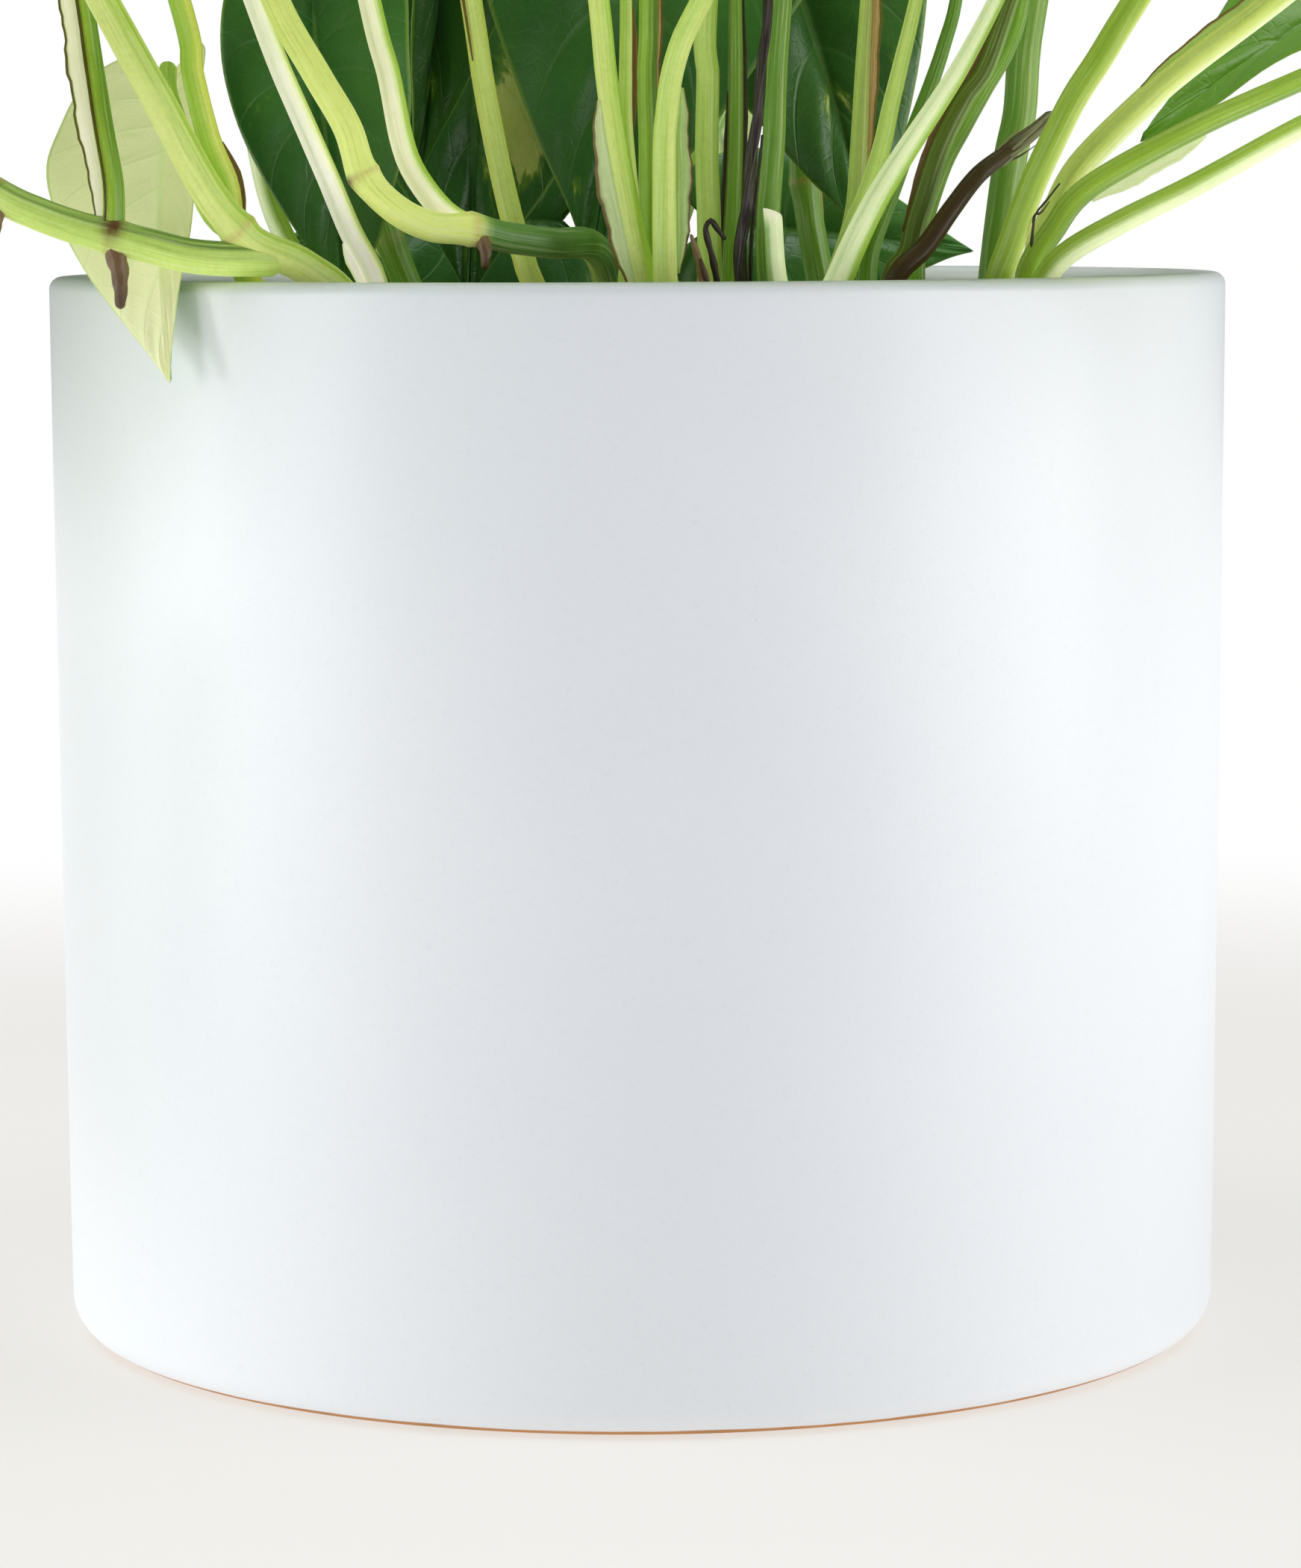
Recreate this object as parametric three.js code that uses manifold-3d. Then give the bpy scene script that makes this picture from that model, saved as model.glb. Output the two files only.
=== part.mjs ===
// Potted golden pothos: a glazed pot with soil, ten leafy vines and their heart-shaped leaf blades.
// Millimetres, +Z up. The origin is the middle of the pot's flat foot, and the front is towards -Y.
import * as THREE from 'three';
import { mergeVertices } from 'three/addons/utils/BufferGeometryUtils.js';
import Module from 'manifold-3d';

const wasm = await Module();
wasm.setup();

// Pot and soil
const potRadius = 90;
const potHeight = 162.2;
const wallThickness = 6;
const floorThickness = 9;
const lipRound = 2;
const footRound = 4;
const potSides = 48;
const soilLevel = 144;
const soilCrown = 3;
const fitGap = 0.35;

// Stems and leaf stalks
const stemSides = 8;
const stalkSides = 6;
const stalkStartRadius = 1.8;
const stalkEndRadius = 1.2;
const spearLength = 26;
const spearRadii = [1.8, 0.5];
const ringRise = 0.5;
const ringHalfLength = 2;
const stepLength = 13;

// Leaf blades
const bladeThickness = 0.9;
const bladeRows = 7;
const bladeColumns = [-1, -0.5, 0, 0.5, 1];
const midribPower = 1.8;
const waveCount = 2.2;
const sidePhase = 1.9;

// Room kept between the centre lines of bars and the surfaces of blades when a leaf is placed
const bladeToBlade = 7.8;
const bladeToBar = 7;
const barToBar = 4.6;
const candidateCount = 300;
const sizeShares = [1, 0.74, 0.5];
const enoughRoom = 45;
const wayLength = 40;
const steepestApproach = 0.42;
const stalkGap = 0.6;
const crownLevel = 190;
const crownFlatness = 1.15;
const crownPull = 0.2;
const clearScore = 200;
const lookAhead = 50;
const leanSpread = 1.1;
const headingSpread = 0.8;
const straightShare = 0.4;
const turnShare = 0.08;
const floorRoom = 12;
const potRoom = 7;
const sampleRows = 12;
const sampleColumns = 4;

// The clear space in front of and behind the stems, seen from the front: below this level and
// inside this half-width only leaves behind the close-set stems hang down
const viewDistance = 809;
const viewLevel = 205.5;
const viewSlope = 0.0373;
const viewHalfWidth = 103;
const screenLeft = -58;
const screenRight = 29;
const screenDepth = -8;

const toRadians = Math.PI / 180;

const green = { pale: 0x9fbf4a, leaf: 0x3f7a24 };
const potMaterial = { color: 0xeef1f4, roughness: 0.55, metalness: 0 };
const soilMaterial = { color: 0x3a2a1e, roughness: 1, metalness: 0 };
const stemMaterial = { color: green.pale, roughness: 0.5, metalness: 0 };
const leafMaterial = { color: green.leaf, roughness: 0.35, metalness: 0 };

const part = new THREE.Group();

// Seeded draws, the same on every run
const firstDraw = 25;
let drawState = firstDraw;

function draw(low, high) {
  drawState = (drawState * 16807) % 2147483647;
  return low + (high - low) * (drawState / 2147483647);
}

function addMesh(name, geometry, look) {
  const mesh = new THREE.Mesh(geometry, new THREE.MeshStandardMaterial(look));
  mesh.name = name;
  part.add(mesh);
}

// A closed geometry as a solid that can be joined and cut
function toSolid(geometry) {
  const bare = geometry.clone();
  bare.deleteAttribute('normal');
  bare.deleteAttribute('uv');
  const merged = mergeVertices(bare);
  const mesh = new wasm.Mesh({
    numProp: 3,
    vertProperties: new Float32Array(merged.attributes.position.array),
    triVerts: new Uint32Array(merged.index.array),
  });
  return new wasm.Manifold(mesh);
}

function toGeometry(solid) {
  const mesh = solid.getMesh();
  const geometry = new THREE.BufferGeometry();
  geometry.setAttribute('position', new THREE.BufferAttribute(mesh.vertProperties, 3));
  geometry.setIndex(new THREE.BufferAttribute(mesh.triVerts, 1));
  return geometry;
}

// A quarter round from one angle to another, as profile points
function arcPoints(centreX, centreY, radius, fromDegrees, toDegrees, steps) {
  const points = [];
  for (let i = 0; i <= steps; i += 1) {
    const angle = (fromDegrees + ((toDegrees - fromDegrees) * i) / steps) * toRadians;
    points.push(new THREE.Vector2(centreX + radius * Math.cos(angle), centreY + radius * Math.sin(angle)));
  }
  return points;
}

// Turns a profile about the upright axis. A lathe turns about Y, so the result is stood up.
function turned(profile) {
  const geometry = new THREE.LatheGeometry(profile, potSides);
  geometry.rotateX(Math.PI / 2);
  return geometry;
}

function potGeometry() {
  const innerRadius = potRadius - wallThickness;
  const profile = [
    new THREE.Vector2(0, 0),
    ...arcPoints(potRadius - footRound, footRound, footRound, -90, 0, 3),
    ...arcPoints(potRadius - lipRound, potHeight - lipRound, lipRound, 0, 90, 2),
    ...arcPoints(innerRadius + lipRound, potHeight - lipRound, lipRound, 90, 180, 2),
    new THREE.Vector2(innerRadius, floorThickness),
    new THREE.Vector2(0, floorThickness),
  ];
  return turned(profile);
}

function soilGeometry() {
  const radius = potRadius - wallThickness - fitGap;
  const profile = [
    new THREE.Vector2(0, floorThickness + fitGap),
    new THREE.Vector2(radius, floorThickness + fitGap),
    new THREE.Vector2(radius, soilLevel),
    new THREE.Vector2(radius * 0.6, soilLevel + soilCrown * 0.8),
    new THREE.Vector2(0, soilLevel + soilCrown),
  ];
  return turned(profile);
}

function toVectors(points) {
  return points.map((point) => new THREE.Vector3(...point));
}

function smoothCurve(points) {
  return new THREE.CatmullRomCurve3(points, false, 'catmullrom', 0.5);
}

// A round bar along a smooth curve, extruded at its thickest and then drawn in at each station
function taperedBar(points, startRadius, endRadius, sides) {
  const curve = smoothCurve(points);
  const steps = Math.max(2, Math.round(curve.getLength() / stepLength));
  const thickest = Math.max(startRadius, endRadius);
  const section = new THREE.Shape();
  const corners = [];
  for (let i = 0; i < sides; i += 1) {
    const angle = (2 * Math.PI * i) / sides;
    corners.push(new THREE.Vector2(thickest * Math.cos(angle), thickest * Math.sin(angle)));
  }
  section.setFromPoints(corners);
  const geometry = new THREE.ExtrudeGeometry(section, { steps, extrudePath: curve, bevelEnabled: false });
  const stations = curve.getSpacedPoints(steps);
  const position = geometry.attributes.position;
  const vertex = new THREE.Vector3();
  for (let i = 0; i < position.count; i += 1) {
    vertex.fromBufferAttribute(position, i);
    let nearest = 0;
    for (let k = 1; k <= steps; k += 1) {
      if (vertex.distanceTo(stations[k]) < vertex.distanceTo(stations[nearest])) {
        nearest = k;
      }
    }
    const radius = startRadius + ((endRadius - startRadius) * nearest) / steps;
    vertex.sub(stations[nearest]).multiplyScalar(radius / thickest).add(stations[nearest]);
    position.setXYZ(i, vertex.x, vertex.y, vertex.z);
  }
  return geometry;
}

// Half the outline of a blade one unit long, from the notch at its base round the lobe to its tip
const halfOutline = toVectors([
  [0, 0, 0],
  [-0.05, 0.06, 0],
  [-0.12, 0.16, 0],
  [-0.1, 0.28, 0],
  [0.03, 0.365, 0],
  [0.2, 0.39, 0],
  [0.4, 0.35, 0],
  [0.6, 0.255, 0],
  [0.78, 0.145, 0],
  [0.9, 0.06, 0],
  [1, 0, 0],
]);
const outlineCurve = smoothCurve(halfOutline);

// A point of the blade in its own frame, one unit long: x along the midrib, z out of the upper side.
// The halves fold up along the midrib, swell between midrib and edge, wave at the edge, and the whole
// blade bends down along a round arc towards its tip.
function bladePoint(leaf, along, across, lift) {
  const edge = outlineCurve.getPoint(along);
  const rib = along ** midribPower;
  const share = Math.abs(across);
  const side = Math.sign(across);
  const flatX = rib + (edge.x - rib) * share;
  const halfWidth = edge.y * share * leaf.width * leaf.halves[side > 0 ? 1 : 0];
  const swell = leaf.camber * edge.y * 4 * share * (1 - share);
  const phase = leaf.phase + (side > 0 ? 0 : sidePhase);
  const ripple = Math.sin(2 * Math.PI * waveCount * along + phase) * Math.sin(Math.PI * along);
  const wave = leaf.wave * share * share * ripple;
  const raised = swell + wave + lift * Math.cos(leaf.fold * Math.abs(side));
  const y = side * (halfWidth * Math.cos(leaf.fold) - raised * Math.sin(leaf.fold) * Math.abs(side))
    + leaf.sweep * Math.max(0, flatX) ** 2;
  const z = halfWidth * Math.sin(leaf.fold) + raised;
  const turn = leaf.bend * Math.max(0, flatX);
  const arcX = flatX > 0 ? Math.sin(turn) / leaf.bend : flatX;
  const arcZ = flatX > 0 ? -(1 - Math.cos(turn)) / leaf.bend : 0;
  return new THREE.Vector3(arcX + z * Math.sin(turn), y, arcZ + z * Math.cos(turn));
}

// The frame of a blade: x points from the base along the midrib, z out of the upper side
function bladeFrame(leaf) {
  const x = leaf.heading.clone().normalize();
  const z = leaf.facing.clone().addScaledVector(x, -leaf.facing.dot(x)).normalize();
  z.applyAxisAngle(x, leaf.roll);
  const y = new THREE.Vector3().crossVectors(z, x);
  const size = new THREE.Vector3(leaf.length, leaf.length, leaf.length);
  return new THREE.Matrix4().makeBasis(x, y, z).scale(size).setPosition(leaf.base);
}

// A thin closed blade: the same triangles on both faces, joined round the edge
function bladeGeometry(leaf) {
  const frame = bladeFrame(leaf);
  const positions = [];
  const half = bladeThickness / 2 / leaf.length;
  const columns = bladeColumns.length;
  const ringSize = columns * (bladeRows - 1) + 2;
  for (const lift of [half, -half]) {
    positions.push(...bladePoint(leaf, 0, 0, lift).applyMatrix4(frame).toArray());
    for (let row = 1; row < bladeRows; row += 1) {
      for (const across of bladeColumns) {
        positions.push(...bladePoint(leaf, row / bladeRows, across, lift).applyMatrix4(frame).toArray());
      }
    }
    positions.push(...bladePoint(leaf, 1, 0, lift).applyMatrix4(frame).toArray());
  }
  const at = (row, column) => 1 + (row - 1) * columns + column;
  const triangles = [];
  for (let column = 0; column + 1 < columns; column += 1) {
    triangles.push([0, at(1, column), at(1, column + 1)]);
    for (let row = 1; row + 1 < bladeRows; row += 1) {
      const corners = [at(row, column), at(row + 1, column), at(row + 1, column + 1), at(row, column + 1)];
      if (column < columns / 2 - 1) {
        triangles.push([corners[0], corners[1], corners[2]], [corners[0], corners[2], corners[3]]);
      } else {
        triangles.push([corners[0], corners[1], corners[3]], [corners[1], corners[2], corners[3]]);
      }
    }
    triangles.push([at(bladeRows - 1, column), ringSize - 1, at(bladeRows - 1, column + 1)]);
  }
  const index = [];
  for (const [a, b, c] of triangles) {
    index.push(a, b, c, c + ringSize, b + ringSize, a + ringSize);
  }
  const rim = [0];
  for (let row = 1; row < bladeRows; row += 1) {
    rim.push(at(row, columns - 1));
  }
  rim.push(ringSize - 1);
  for (let row = bladeRows - 1; row > 0; row -= 1) {
    rim.push(at(row, 0));
  }
  for (let i = 0; i < rim.length; i += 1) {
    const here = rim[i];
    const next = rim[(i + 1) % rim.length];
    index.push(here, next, here + ringSize, next, next + ringSize, here + ringSize);
  }
  const geometry = new THREE.BufferGeometry();
  geometry.setAttribute('position', new THREE.Float32BufferAttribute(positions, 3));
  geometry.setIndex(index);
  return geometry;
}

// Everything placed so far, for keeping later leaves clear of it
const placedBars = [];
const placedBlades = [];

// The ways up of the stalks whose leaves come later, kept clear of blades
const waysUp = [];

// Points with the ball round them, so that far pairs are passed over quickly
function cloud(points) {
  const ball = new THREE.Sphere().setFromPoints(points);
  return { points, ball };
}

function barCloud(points, skip) {
  const curve = smoothCurve(points);
  const count = Math.max(6, Math.round(curve.getLength() / 5));
  const samples = [];
  for (let i = skip; i <= count; i += 1) {
    samples.push(curve.getPoint(i / count));
  }
  return cloud(samples);
}

function bladeCloud(leaf) {
  const frame = bladeFrame(leaf);
  const samples = [];
  for (let row = 0; row <= sampleRows; row += 1) {
    for (let column = -sampleColumns; column <= sampleColumns; column += 1) {
      samples.push(bladePoint(leaf, row / sampleRows, column / sampleColumns, 0).applyMatrix4(frame));
    }
  }
  return cloud(samples);
}

function closerThan(a, b, limit) {
  if (a.ball.center.distanceTo(b.ball.center) > a.ball.radius + b.ball.radius + limit) {
    return false;
  }
  return a.points.some((p) => b.points.some((q) => p.distanceToSquared(q) < limit * limit));
}

// The clear space seen from the front, and the pot with the surface it stands on
function inClearSpace(point) {
  const depthScale = (viewDistance + point.y) / viewDistance;
  if (point.z > viewLevel + viewSlope * point.y || Math.abs(point.x) > viewHalfWidth * depthScale) {
    return false;
  }
  const behindStems = point.x > screenLeft * depthScale && point.x < screenRight * depthScale;
  return !(behindStems && point.y > screenDepth);
}

function hitsPot(point) {
  const fromAxis = Math.hypot(point.x, point.y);
  return point.z < floorRoom || (point.z < potHeight + potRoom && fromAxis < potRadius + potRoom);
}

// The end of a stalk stops just under its blade
function stalkEnd(leaf, before) {
  const frame = bladeFrame(leaf);
  const up = new THREE.Vector3().setFromMatrixColumn(frame, 2).normalize();
  const course = leaf.base.clone().sub(before).normalize();
  const lean = Math.sqrt(Math.max(0, 1 - course.dot(up) ** 2));
  const setBack = bladeThickness / 2 + stalkGap + stalkEndRadius * lean;
  return leaf.base.clone().addScaledVector(up, -setBack);
}

// A blade with the given place and the seeded small differences that no two leaves share
function makeLeaf(base, heading, facing, length) {
  return {
    base,
    heading,
    facing,
    length,
    roll: draw(-0.3, 0.3),
    width: draw(0.95, 1.12),
    halves: [1, 1],
    fold: draw(0.12, 0.42),
    camber: draw(0.05, 0.16),
    wave: draw(0.015, 0.04),
    phase: draw(0, 6.2),
    sweep: draw(-0.08, 0.08),
    bend: draw(0.35, 1.0),
  };
}

// The unit direction with a turn about the upright axis and a climb out of the level
function direction(turn, climb) {
  const level = Math.cos(climb);
  return new THREE.Vector3(Math.cos(turn) * level, Math.sin(turn) * level, Math.sin(climb));
}

// One try for a stalk's free end and its blade: the stalk leans outwards as it rises and the blade
// points away from the middle of the plant with its tip down
function drawCandidate(route, spread, share) {
  const last = route[route.length - 1];
  const course = last.clone().sub(route[route.length - 2]).normalize();
  const ahead = last.clone().addScaledVector(course, lookAhead);
  const outward = Math.atan2(ahead.y, ahead.x);
  const lean = outward + draw(-leanSpread, leanSpread);
  const aim = direction(lean, draw(spread.climb[0], spread.climb[1]));
  const reach = share * draw(spread.reach[0], spread.reach[1]);
  const middle = last.clone().addScaledVector(course, reach * straightShare)
    .addScaledVector(aim, reach * turnShare);
  const base = last.clone().addScaledVector(aim.add(course).normalize(), reach);
  const turn = Math.atan2(base.y, base.x) + draw(-headingSpread, headingSpread);
  const heading = direction(turn, -draw(spread.drop[0], spread.drop[1]));
  const length = share * draw(spread.length[0], spread.length[1]);
  const leaf = makeLeaf(base, heading, new THREE.Vector3(0, 0, 1), length);
  const up = new THREE.Vector3().setFromMatrixColumn(bladeFrame(leaf), 2).normalize();
  const approach = base.clone().sub(middle).normalize().dot(up);
  return { leaf, approach, points: [...route, middle, stalkEnd(leaf, middle)] };
}

// How good a try is: -1 where it touches something, else more with the way to the nearest blade's middle
// and less with its own way from the middle of the crown
function roomOf(candidate, freeFrom) {
  const blade = bladeCloud(candidate.leaf);
  if (candidate.approach < steepestApproach) {
    return -1;
  }
  if (blade.points.some((point) => inClearSpace(point) || hitsPot(point))) {
    return -1;
  }
  const bar = barCloud(candidate.points.slice(freeFrom), 2);
  const lowerBar = cloud(bar.points.slice(0, -3));
  if (closerThan(blade, lowerBar, bladeToBar)) {
    return -1;
  }
  const nearBlade = (other) => closerThan(blade, other, bladeToBlade) || closerThan(bar, other, bladeToBar);
  const nearBar = (other) => closerThan(blade, other, bladeToBar) || closerThan(bar, other, barToBar);
  if (placedBlades.some(nearBlade) || placedBars.some(nearBar)) {
    return -1;
  }
  if (waysUp.some((way) => closerThan(blade, way, bladeToBar))) {
    return -1;
  }
  const middle = blade.ball.center;
  const gapTo = (other) => middle.distanceTo(other.ball.center);
  const apart = placedBlades.reduce((gap, other) => Math.min(gap, gapTo(other)), enoughRoom);
  const away = Math.hypot(middle.x, middle.y, (middle.z - crownLevel) * crownFlatness);
  return clearScore + apart - crownPull * away;
}

const usualSpread = { climb: [0.3, 1.4], reach: [40, 140], drop: [0, 1.15], length: [64, 92] };
const vineSpread = { climb: [0.1, 1.2], reach: [28, 60], drop: [0.1, 1.2], length: [66, 92] };

const bladeNodes = [];

function keepLeaf(leaf, points, freeFrom) {
  placedBlades.push(bladeCloud(leaf));
  placedBars.push(barCloud(points.slice(freeFrom), 0));
  bladeNodes.push(leaf);
}

// The best of many tries is kept, so the blades spread evenly over the crown of the plant. Where no
// usual blade finds room, a younger and smaller one on a shorter stalk is tried.
function growLeaf(route, spread) {
  let best = null;
  let bestRoom = -1;
  for (const share of sizeShares) {
    for (let i = 0; i < candidateCount && (share === 1 || bestRoom < 0 || i > 0); i += 1) {
      const candidate = drawCandidate(route, spread, share);
      const room = roomOf(candidate, route.length - 1);
      if (room > bestRoom) {
        best = candidate;
        bestRoom = room;
      }
    }
  }
  if (best === null) {
    return null;
  }
  keepLeaf(best.leaf, best.points, route.length - 1);
  return best.points;
}

// Where no blade finds room the stalk ends in its youngest leaf, still rolled into a spear
function youngSpear(stalk) {
  const last = stalk.route[stalk.route.length - 1];
  const course = last.clone().sub(stalk.route[stalk.route.length - 2]).normalize();
  const points = [...stalk.route, last.clone().addScaledVector(course, spearLength)];
  placedBars.push(barCloud(points.slice(-3), 0));
  stalk.radii = spearRadii;
  return points;
}

// A blade that hangs at a known place: base, tip and the side it faces are given
function hangLeaf(route, hang) {
  const base = new THREE.Vector3(...hang.base);
  const tip = new THREE.Vector3(...hang.tip);
  const chord = tip.clone().sub(base);
  const facing = new THREE.Vector3(...hang.facing);
  const leaf = makeLeaf(base, chord, facing, 1);
  Object.assign(leaf, hang.form);
  leaf.length = (chord.length() * leaf.bend) / 2 / Math.sin(leaf.bend / 2);
  const side = new THREE.Vector3().crossVectors(facing, chord).normalize();
  leaf.heading = chord.clone().normalize().applyAxisAngle(side, -leaf.bend / 2);
  const before = route[route.length - 1];
  const points = [...route, stalkEnd(leaf, before)];
  keepLeaf(leaf, points, route.length - 1);
  return points;
}

// The vines. Each stem starts in the soil. A stalk's points run from inside its stem up to the level
// where its leaf takes over; stalks without a leaf are spears, stubs and dried remains.
const vines = [
  {
    name: 'vine_left',
    radii: [2.8, 1.9],
    stem: [
      [-34, -44, 112], [-36, -50, 140], [-41, -60, 158], [-47, -64.5, 164.2], [-53, -67, 167],
      [-56, -68, 169.3],
      [-60.6, -69, 175.5], [-66.1, -70, 186], [-71.7, -70, 196.3], [-77, -71, 206.5], [-84, -74, 222],
      [-93, -79, 238], [-104, -86, 249],
    ],
    nubs: [],
    rings: [5, 9],
    branch: {
      radii: [2.5, 1.7],
      stem: [
        [-50, -65.5, 165.3], [-55, -68, 165.4], [-59, -69.3, 165.5], [-63.4, -69.8, 166],
        [-68.5, -69.5, 167.3],
        [-73.8, -69, 168.6], [-79.1, -69, 170], [-84.3, -69, 171.9], [-89.4, -69, 174.3], [-102, -71, 182],
        [-119, -72, 188], [-137, -69, 186], [-152, -63, 174], [-163, -57, 154], [-168, -52, 130],
        [-169, -48, 112],
      ],
      nubs: [[[-73.8, -69, 168.6], [-72.6, -70.5, 158.5], 1.9], [[-90, -69, 174], [-91, -71, 167], 1.5]],
      rings: [5],
      stalks: [
        { points: [[-73.8, -69, 169], [-73.8, -68, 175.6], [-75.1, -66, 182.9], [-76.5, -63.5, 191.2],
          [-78.2, -61, 202]] },
        { points: [[-89.4, -69, 174.3], [-97, -76, 183], [-107, -83, 196]] },
        { points: [[-119, -72, 188], [-121, -64, 197], [-124, -58, 208]], spread: vineSpread },
        { points: [[-137, -69, 186], [-146, -76, 192], [-154, -82, 200]], spread: vineSpread },
        { points: [[-152, -63, 174], [-162, -54, 180], [-170, -48, 188]], spread: vineSpread },
        { points: [[-163, -57, 154], [-172, -62, 156], [-181, -66, 160]], spread: vineSpread },
        { points: [[-168.5, -49, 117], [-169.5, -46.5, 106]],
          hang: { base: [-176, -46, 97], tip: [-191, -51, 30], facing: [-1, -0.2, 0.2],
            form: { bend: 0.5 } } },
      ],
    },
    stalks: [
      { points: [[-56, -66, 167], [-60, -66, 172], [-63.5, -64, 181], [-66.5, -58, 188.5]],
        hang: { base: [-66.5, -49, 191.5], tip: [-66, -68.8, 148], facing: [0.3, 0.9, 0.3],
          form: { roll: 0, width: 1.05, halves: [0.28, 1], fold: 0.05, camber: 0.06, wave: 0.015, sweep: 0,
            bend: -0.5 } } },
      { points: [[-39, -57, 152], [-50, -55, 156], [-55.8, -58, 162.8], [-57.3, -61, 168.1],
        [-57.9, -63, 175.6],
        [-60.3, -64, 182], [-62.6, -64, 191.5], [-64.4, -64, 202.1]] },
      { points: [[-39, -57, 153], [-37, -57.5, 158], [-37.7, -58, 163], [-40.7, -60, 169.1],
        [-43.7, -61, 176.5],
        [-46.8, -62, 183.9], [-50.4, -62, 192.3], [-53.9, -62, 201.7]] },
      { points: [[-39, -57, 153], [-46, -40, 159], [-53, -31, 170], [-56, -30, 181], [-57.1, -30, 193],
        [-59.3, -30, 203]] },
      { points: [[-77, -71, 206.5], [-80, -78, 214], [-84, -86, 224]] },
      { points: [[-103, -85, 248], [-112, -90, 252], [-122, -94, 253]] },
    ],
  },
  {
    name: 'vine_front',
    radii: [2.5, 1.8],
    stem: [
      [-4, -24, 112], [-4, -28, 140], [-4, -40, 158], [-6, -52, 166.5], [-12, -60, 167.3],
      [-18.3, -64, 168.2],
      [-23.2, -67.5, 169.4], [-28.7, -69, 169.8], [-33.8, -70, 172.3], [-38.2, -70, 177], [-40.5, -70, 183.8],
      [-44.7, -69, 191.1], [-50.4, -68, 201.5], [-55, -67, 216], [-59, -68, 232], [-63, -70, 246],
    ],
    nubs: [[[-22, -68, 168.5], [-21.5, -69.5, 163.8], 1.3]],
    rings: [6, 9],
    stalks: [
      { points: [[-23.2, -67.5, 169.4], [-27.2, -66, 171.9], [-31.2, -64, 177], [-33.2, -63, 182],
        [-35, -62, 191.2],
        [-37.6, -62, 201.6]] },
      { points: [[-4, -36, 150], [-11, -48, 154], [-15.2, -54, 162.1], [-16.4, -54, 165.8], [-18, -54, 171.1],
        [-20.1, -54, 180.7], [-22, -54, 191.3], [-23.5, -54, 201.9]] },
      { points: [[-62.5, -70, 245], [-66, -68, 256], [-70, -66, 268]] },
    ],
  },
  {
    name: 'vine_centre',
    radii: [3, 2.6],
    stem: [[14, -36, 112], [14, -42, 140], [10, -52, 152], [6, -58, 157]],
    nubs: [],
    rings: [],
    stalks: [
      { points: [[6, -58, 156], [2, -64, 160], [0.5, -66, 165], [-0.9, -66, 171.1], [-2.9, -66, 181.5],
        [-4.2, -66, 190.9], [-5.2, -66, 201.3]] },
      { points: [[7, -57, 155], [4.4, -66, 160], [3.9, -68, 166], [3.9, -68, 180.5], [4.3, -68, 185.7],
        [5, -69, 190.8], [6.6, -70, 196], [9.2, -71, 201.1]] },
      { points: [[10, -52, 152], [10.3, -57, 158], [10.3, -58, 169.9], [10, -58, 180.5], [10.2, -58, 191.1],
        [10.1, -58, 201.6]] },
      { points: [[8, -54, 154], [3, -52, 160], [2, -51, 170], [1.9, -51, 181.7], [1.7, -51, 192.3],
        [2, -51, 201.8]] },
      { points: [[7, -56, 155], [-1, -60, 160], [-0.6, -60, 170], [-1.5, -60, 183.2], [-1.5, -60, 191.1],
        [-1.4, -60, 201.5], [-2, -60, 214], [-3, -60, 226]], radii: [1.4, 0.6], bare: true },
      { points: [[12, -48, 148], [13.1, -50, 160], [14.2, -50, 180.6], [14.3, -50, 201.8], [14, -50, 213]],
        radii: [1.6, 1], bare: true },
      { points: [[11, -52, 152], [14.2, -64, 158], [14.6, -66, 166], [15.6, -66, 174], [17.4, -66, 189],
        [18.6, -66, 202], [18.6, -66, 212]], radii: [1, 0.6], bare: true },
    ],
  },
  {
    name: 'vine_mid_right',
    radii: [3, 2.6],
    stem: [[27, -38, 112], [27, -44, 140], [26, -54, 153], [24, -60, 157]],
    nubs: [],
    rings: [],
    stalks: [
      { points: [[24, -59, 156], [19.5, -62, 160], [18.6, -62, 165], [18.6, -62, 169.9], [19.1, -62, 177.3],
        [19.5, -62, 182.5], [19.8, -62, 190.9], [20.6, -62, 201.4]] },
      { points: [[26, -54, 153], [28.5, -56, 161.9], [31.1, -56, 170.9], [31.8, -56, 180.4], [32.3, -56, 191],
        [32.9, -56, 201.5]] },
      { points: [[26, -58, 155], [28.3, -62, 162], [30.9, -62, 169.9], [32.7, -62, 174.1], [34.7, -62, 180.4],
        [36.1, -62, 186.7], [37.6, -62, 192.9], [39.6, -62, 201.3], [42, -62, 214], [43, -62, 231]],
        radii: [1.8, 0.5], bare: true },
      { points: [[25, -60, 156], [27.4, -67, 160], [30.5, -69, 167], [33.8, -69, 173.5], [38, -69, 180.3],
        [42.1, -70, 186.5], [45.7, -70, 192.2], [50.3, -71, 200.9], [56, -72, 213],
        [60, -72, 227]], radii: [2.2, 0.6], bare: true },
      { points: [[23, -61, 157], [20, -67, 161], [19, -67.5, 172.3]], radii: [1.6, 1.4], bare: true },
    ],
  },
  {
    name: 'vine_right',
    radii: [2.4, 1],
    stem: [
      [42, -40, 112], [41, -44, 140], [38, -56, 154], [36.8, -60, 161.9], [41.1, -59, 166.6],
      [44.9, -58, 171.9],
      [48.8, -56, 176.7], [53, -52, 179.8], [56.8, -48, 182.5], [60.5, -45, 185.5],
    ],
    nubs: [],
    rings: [],
    stalks: [
      { points: [[38, -54, 153], [36.6, -54, 161.8], [39, -54, 165.5], [40.3, -54, 170.8], [43.3, -54, 180.4],
        [47, -54, 187.8], [49.9, -54, 192], [53.3, -54, 201.5], [56.5, -54, 211]],
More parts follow.
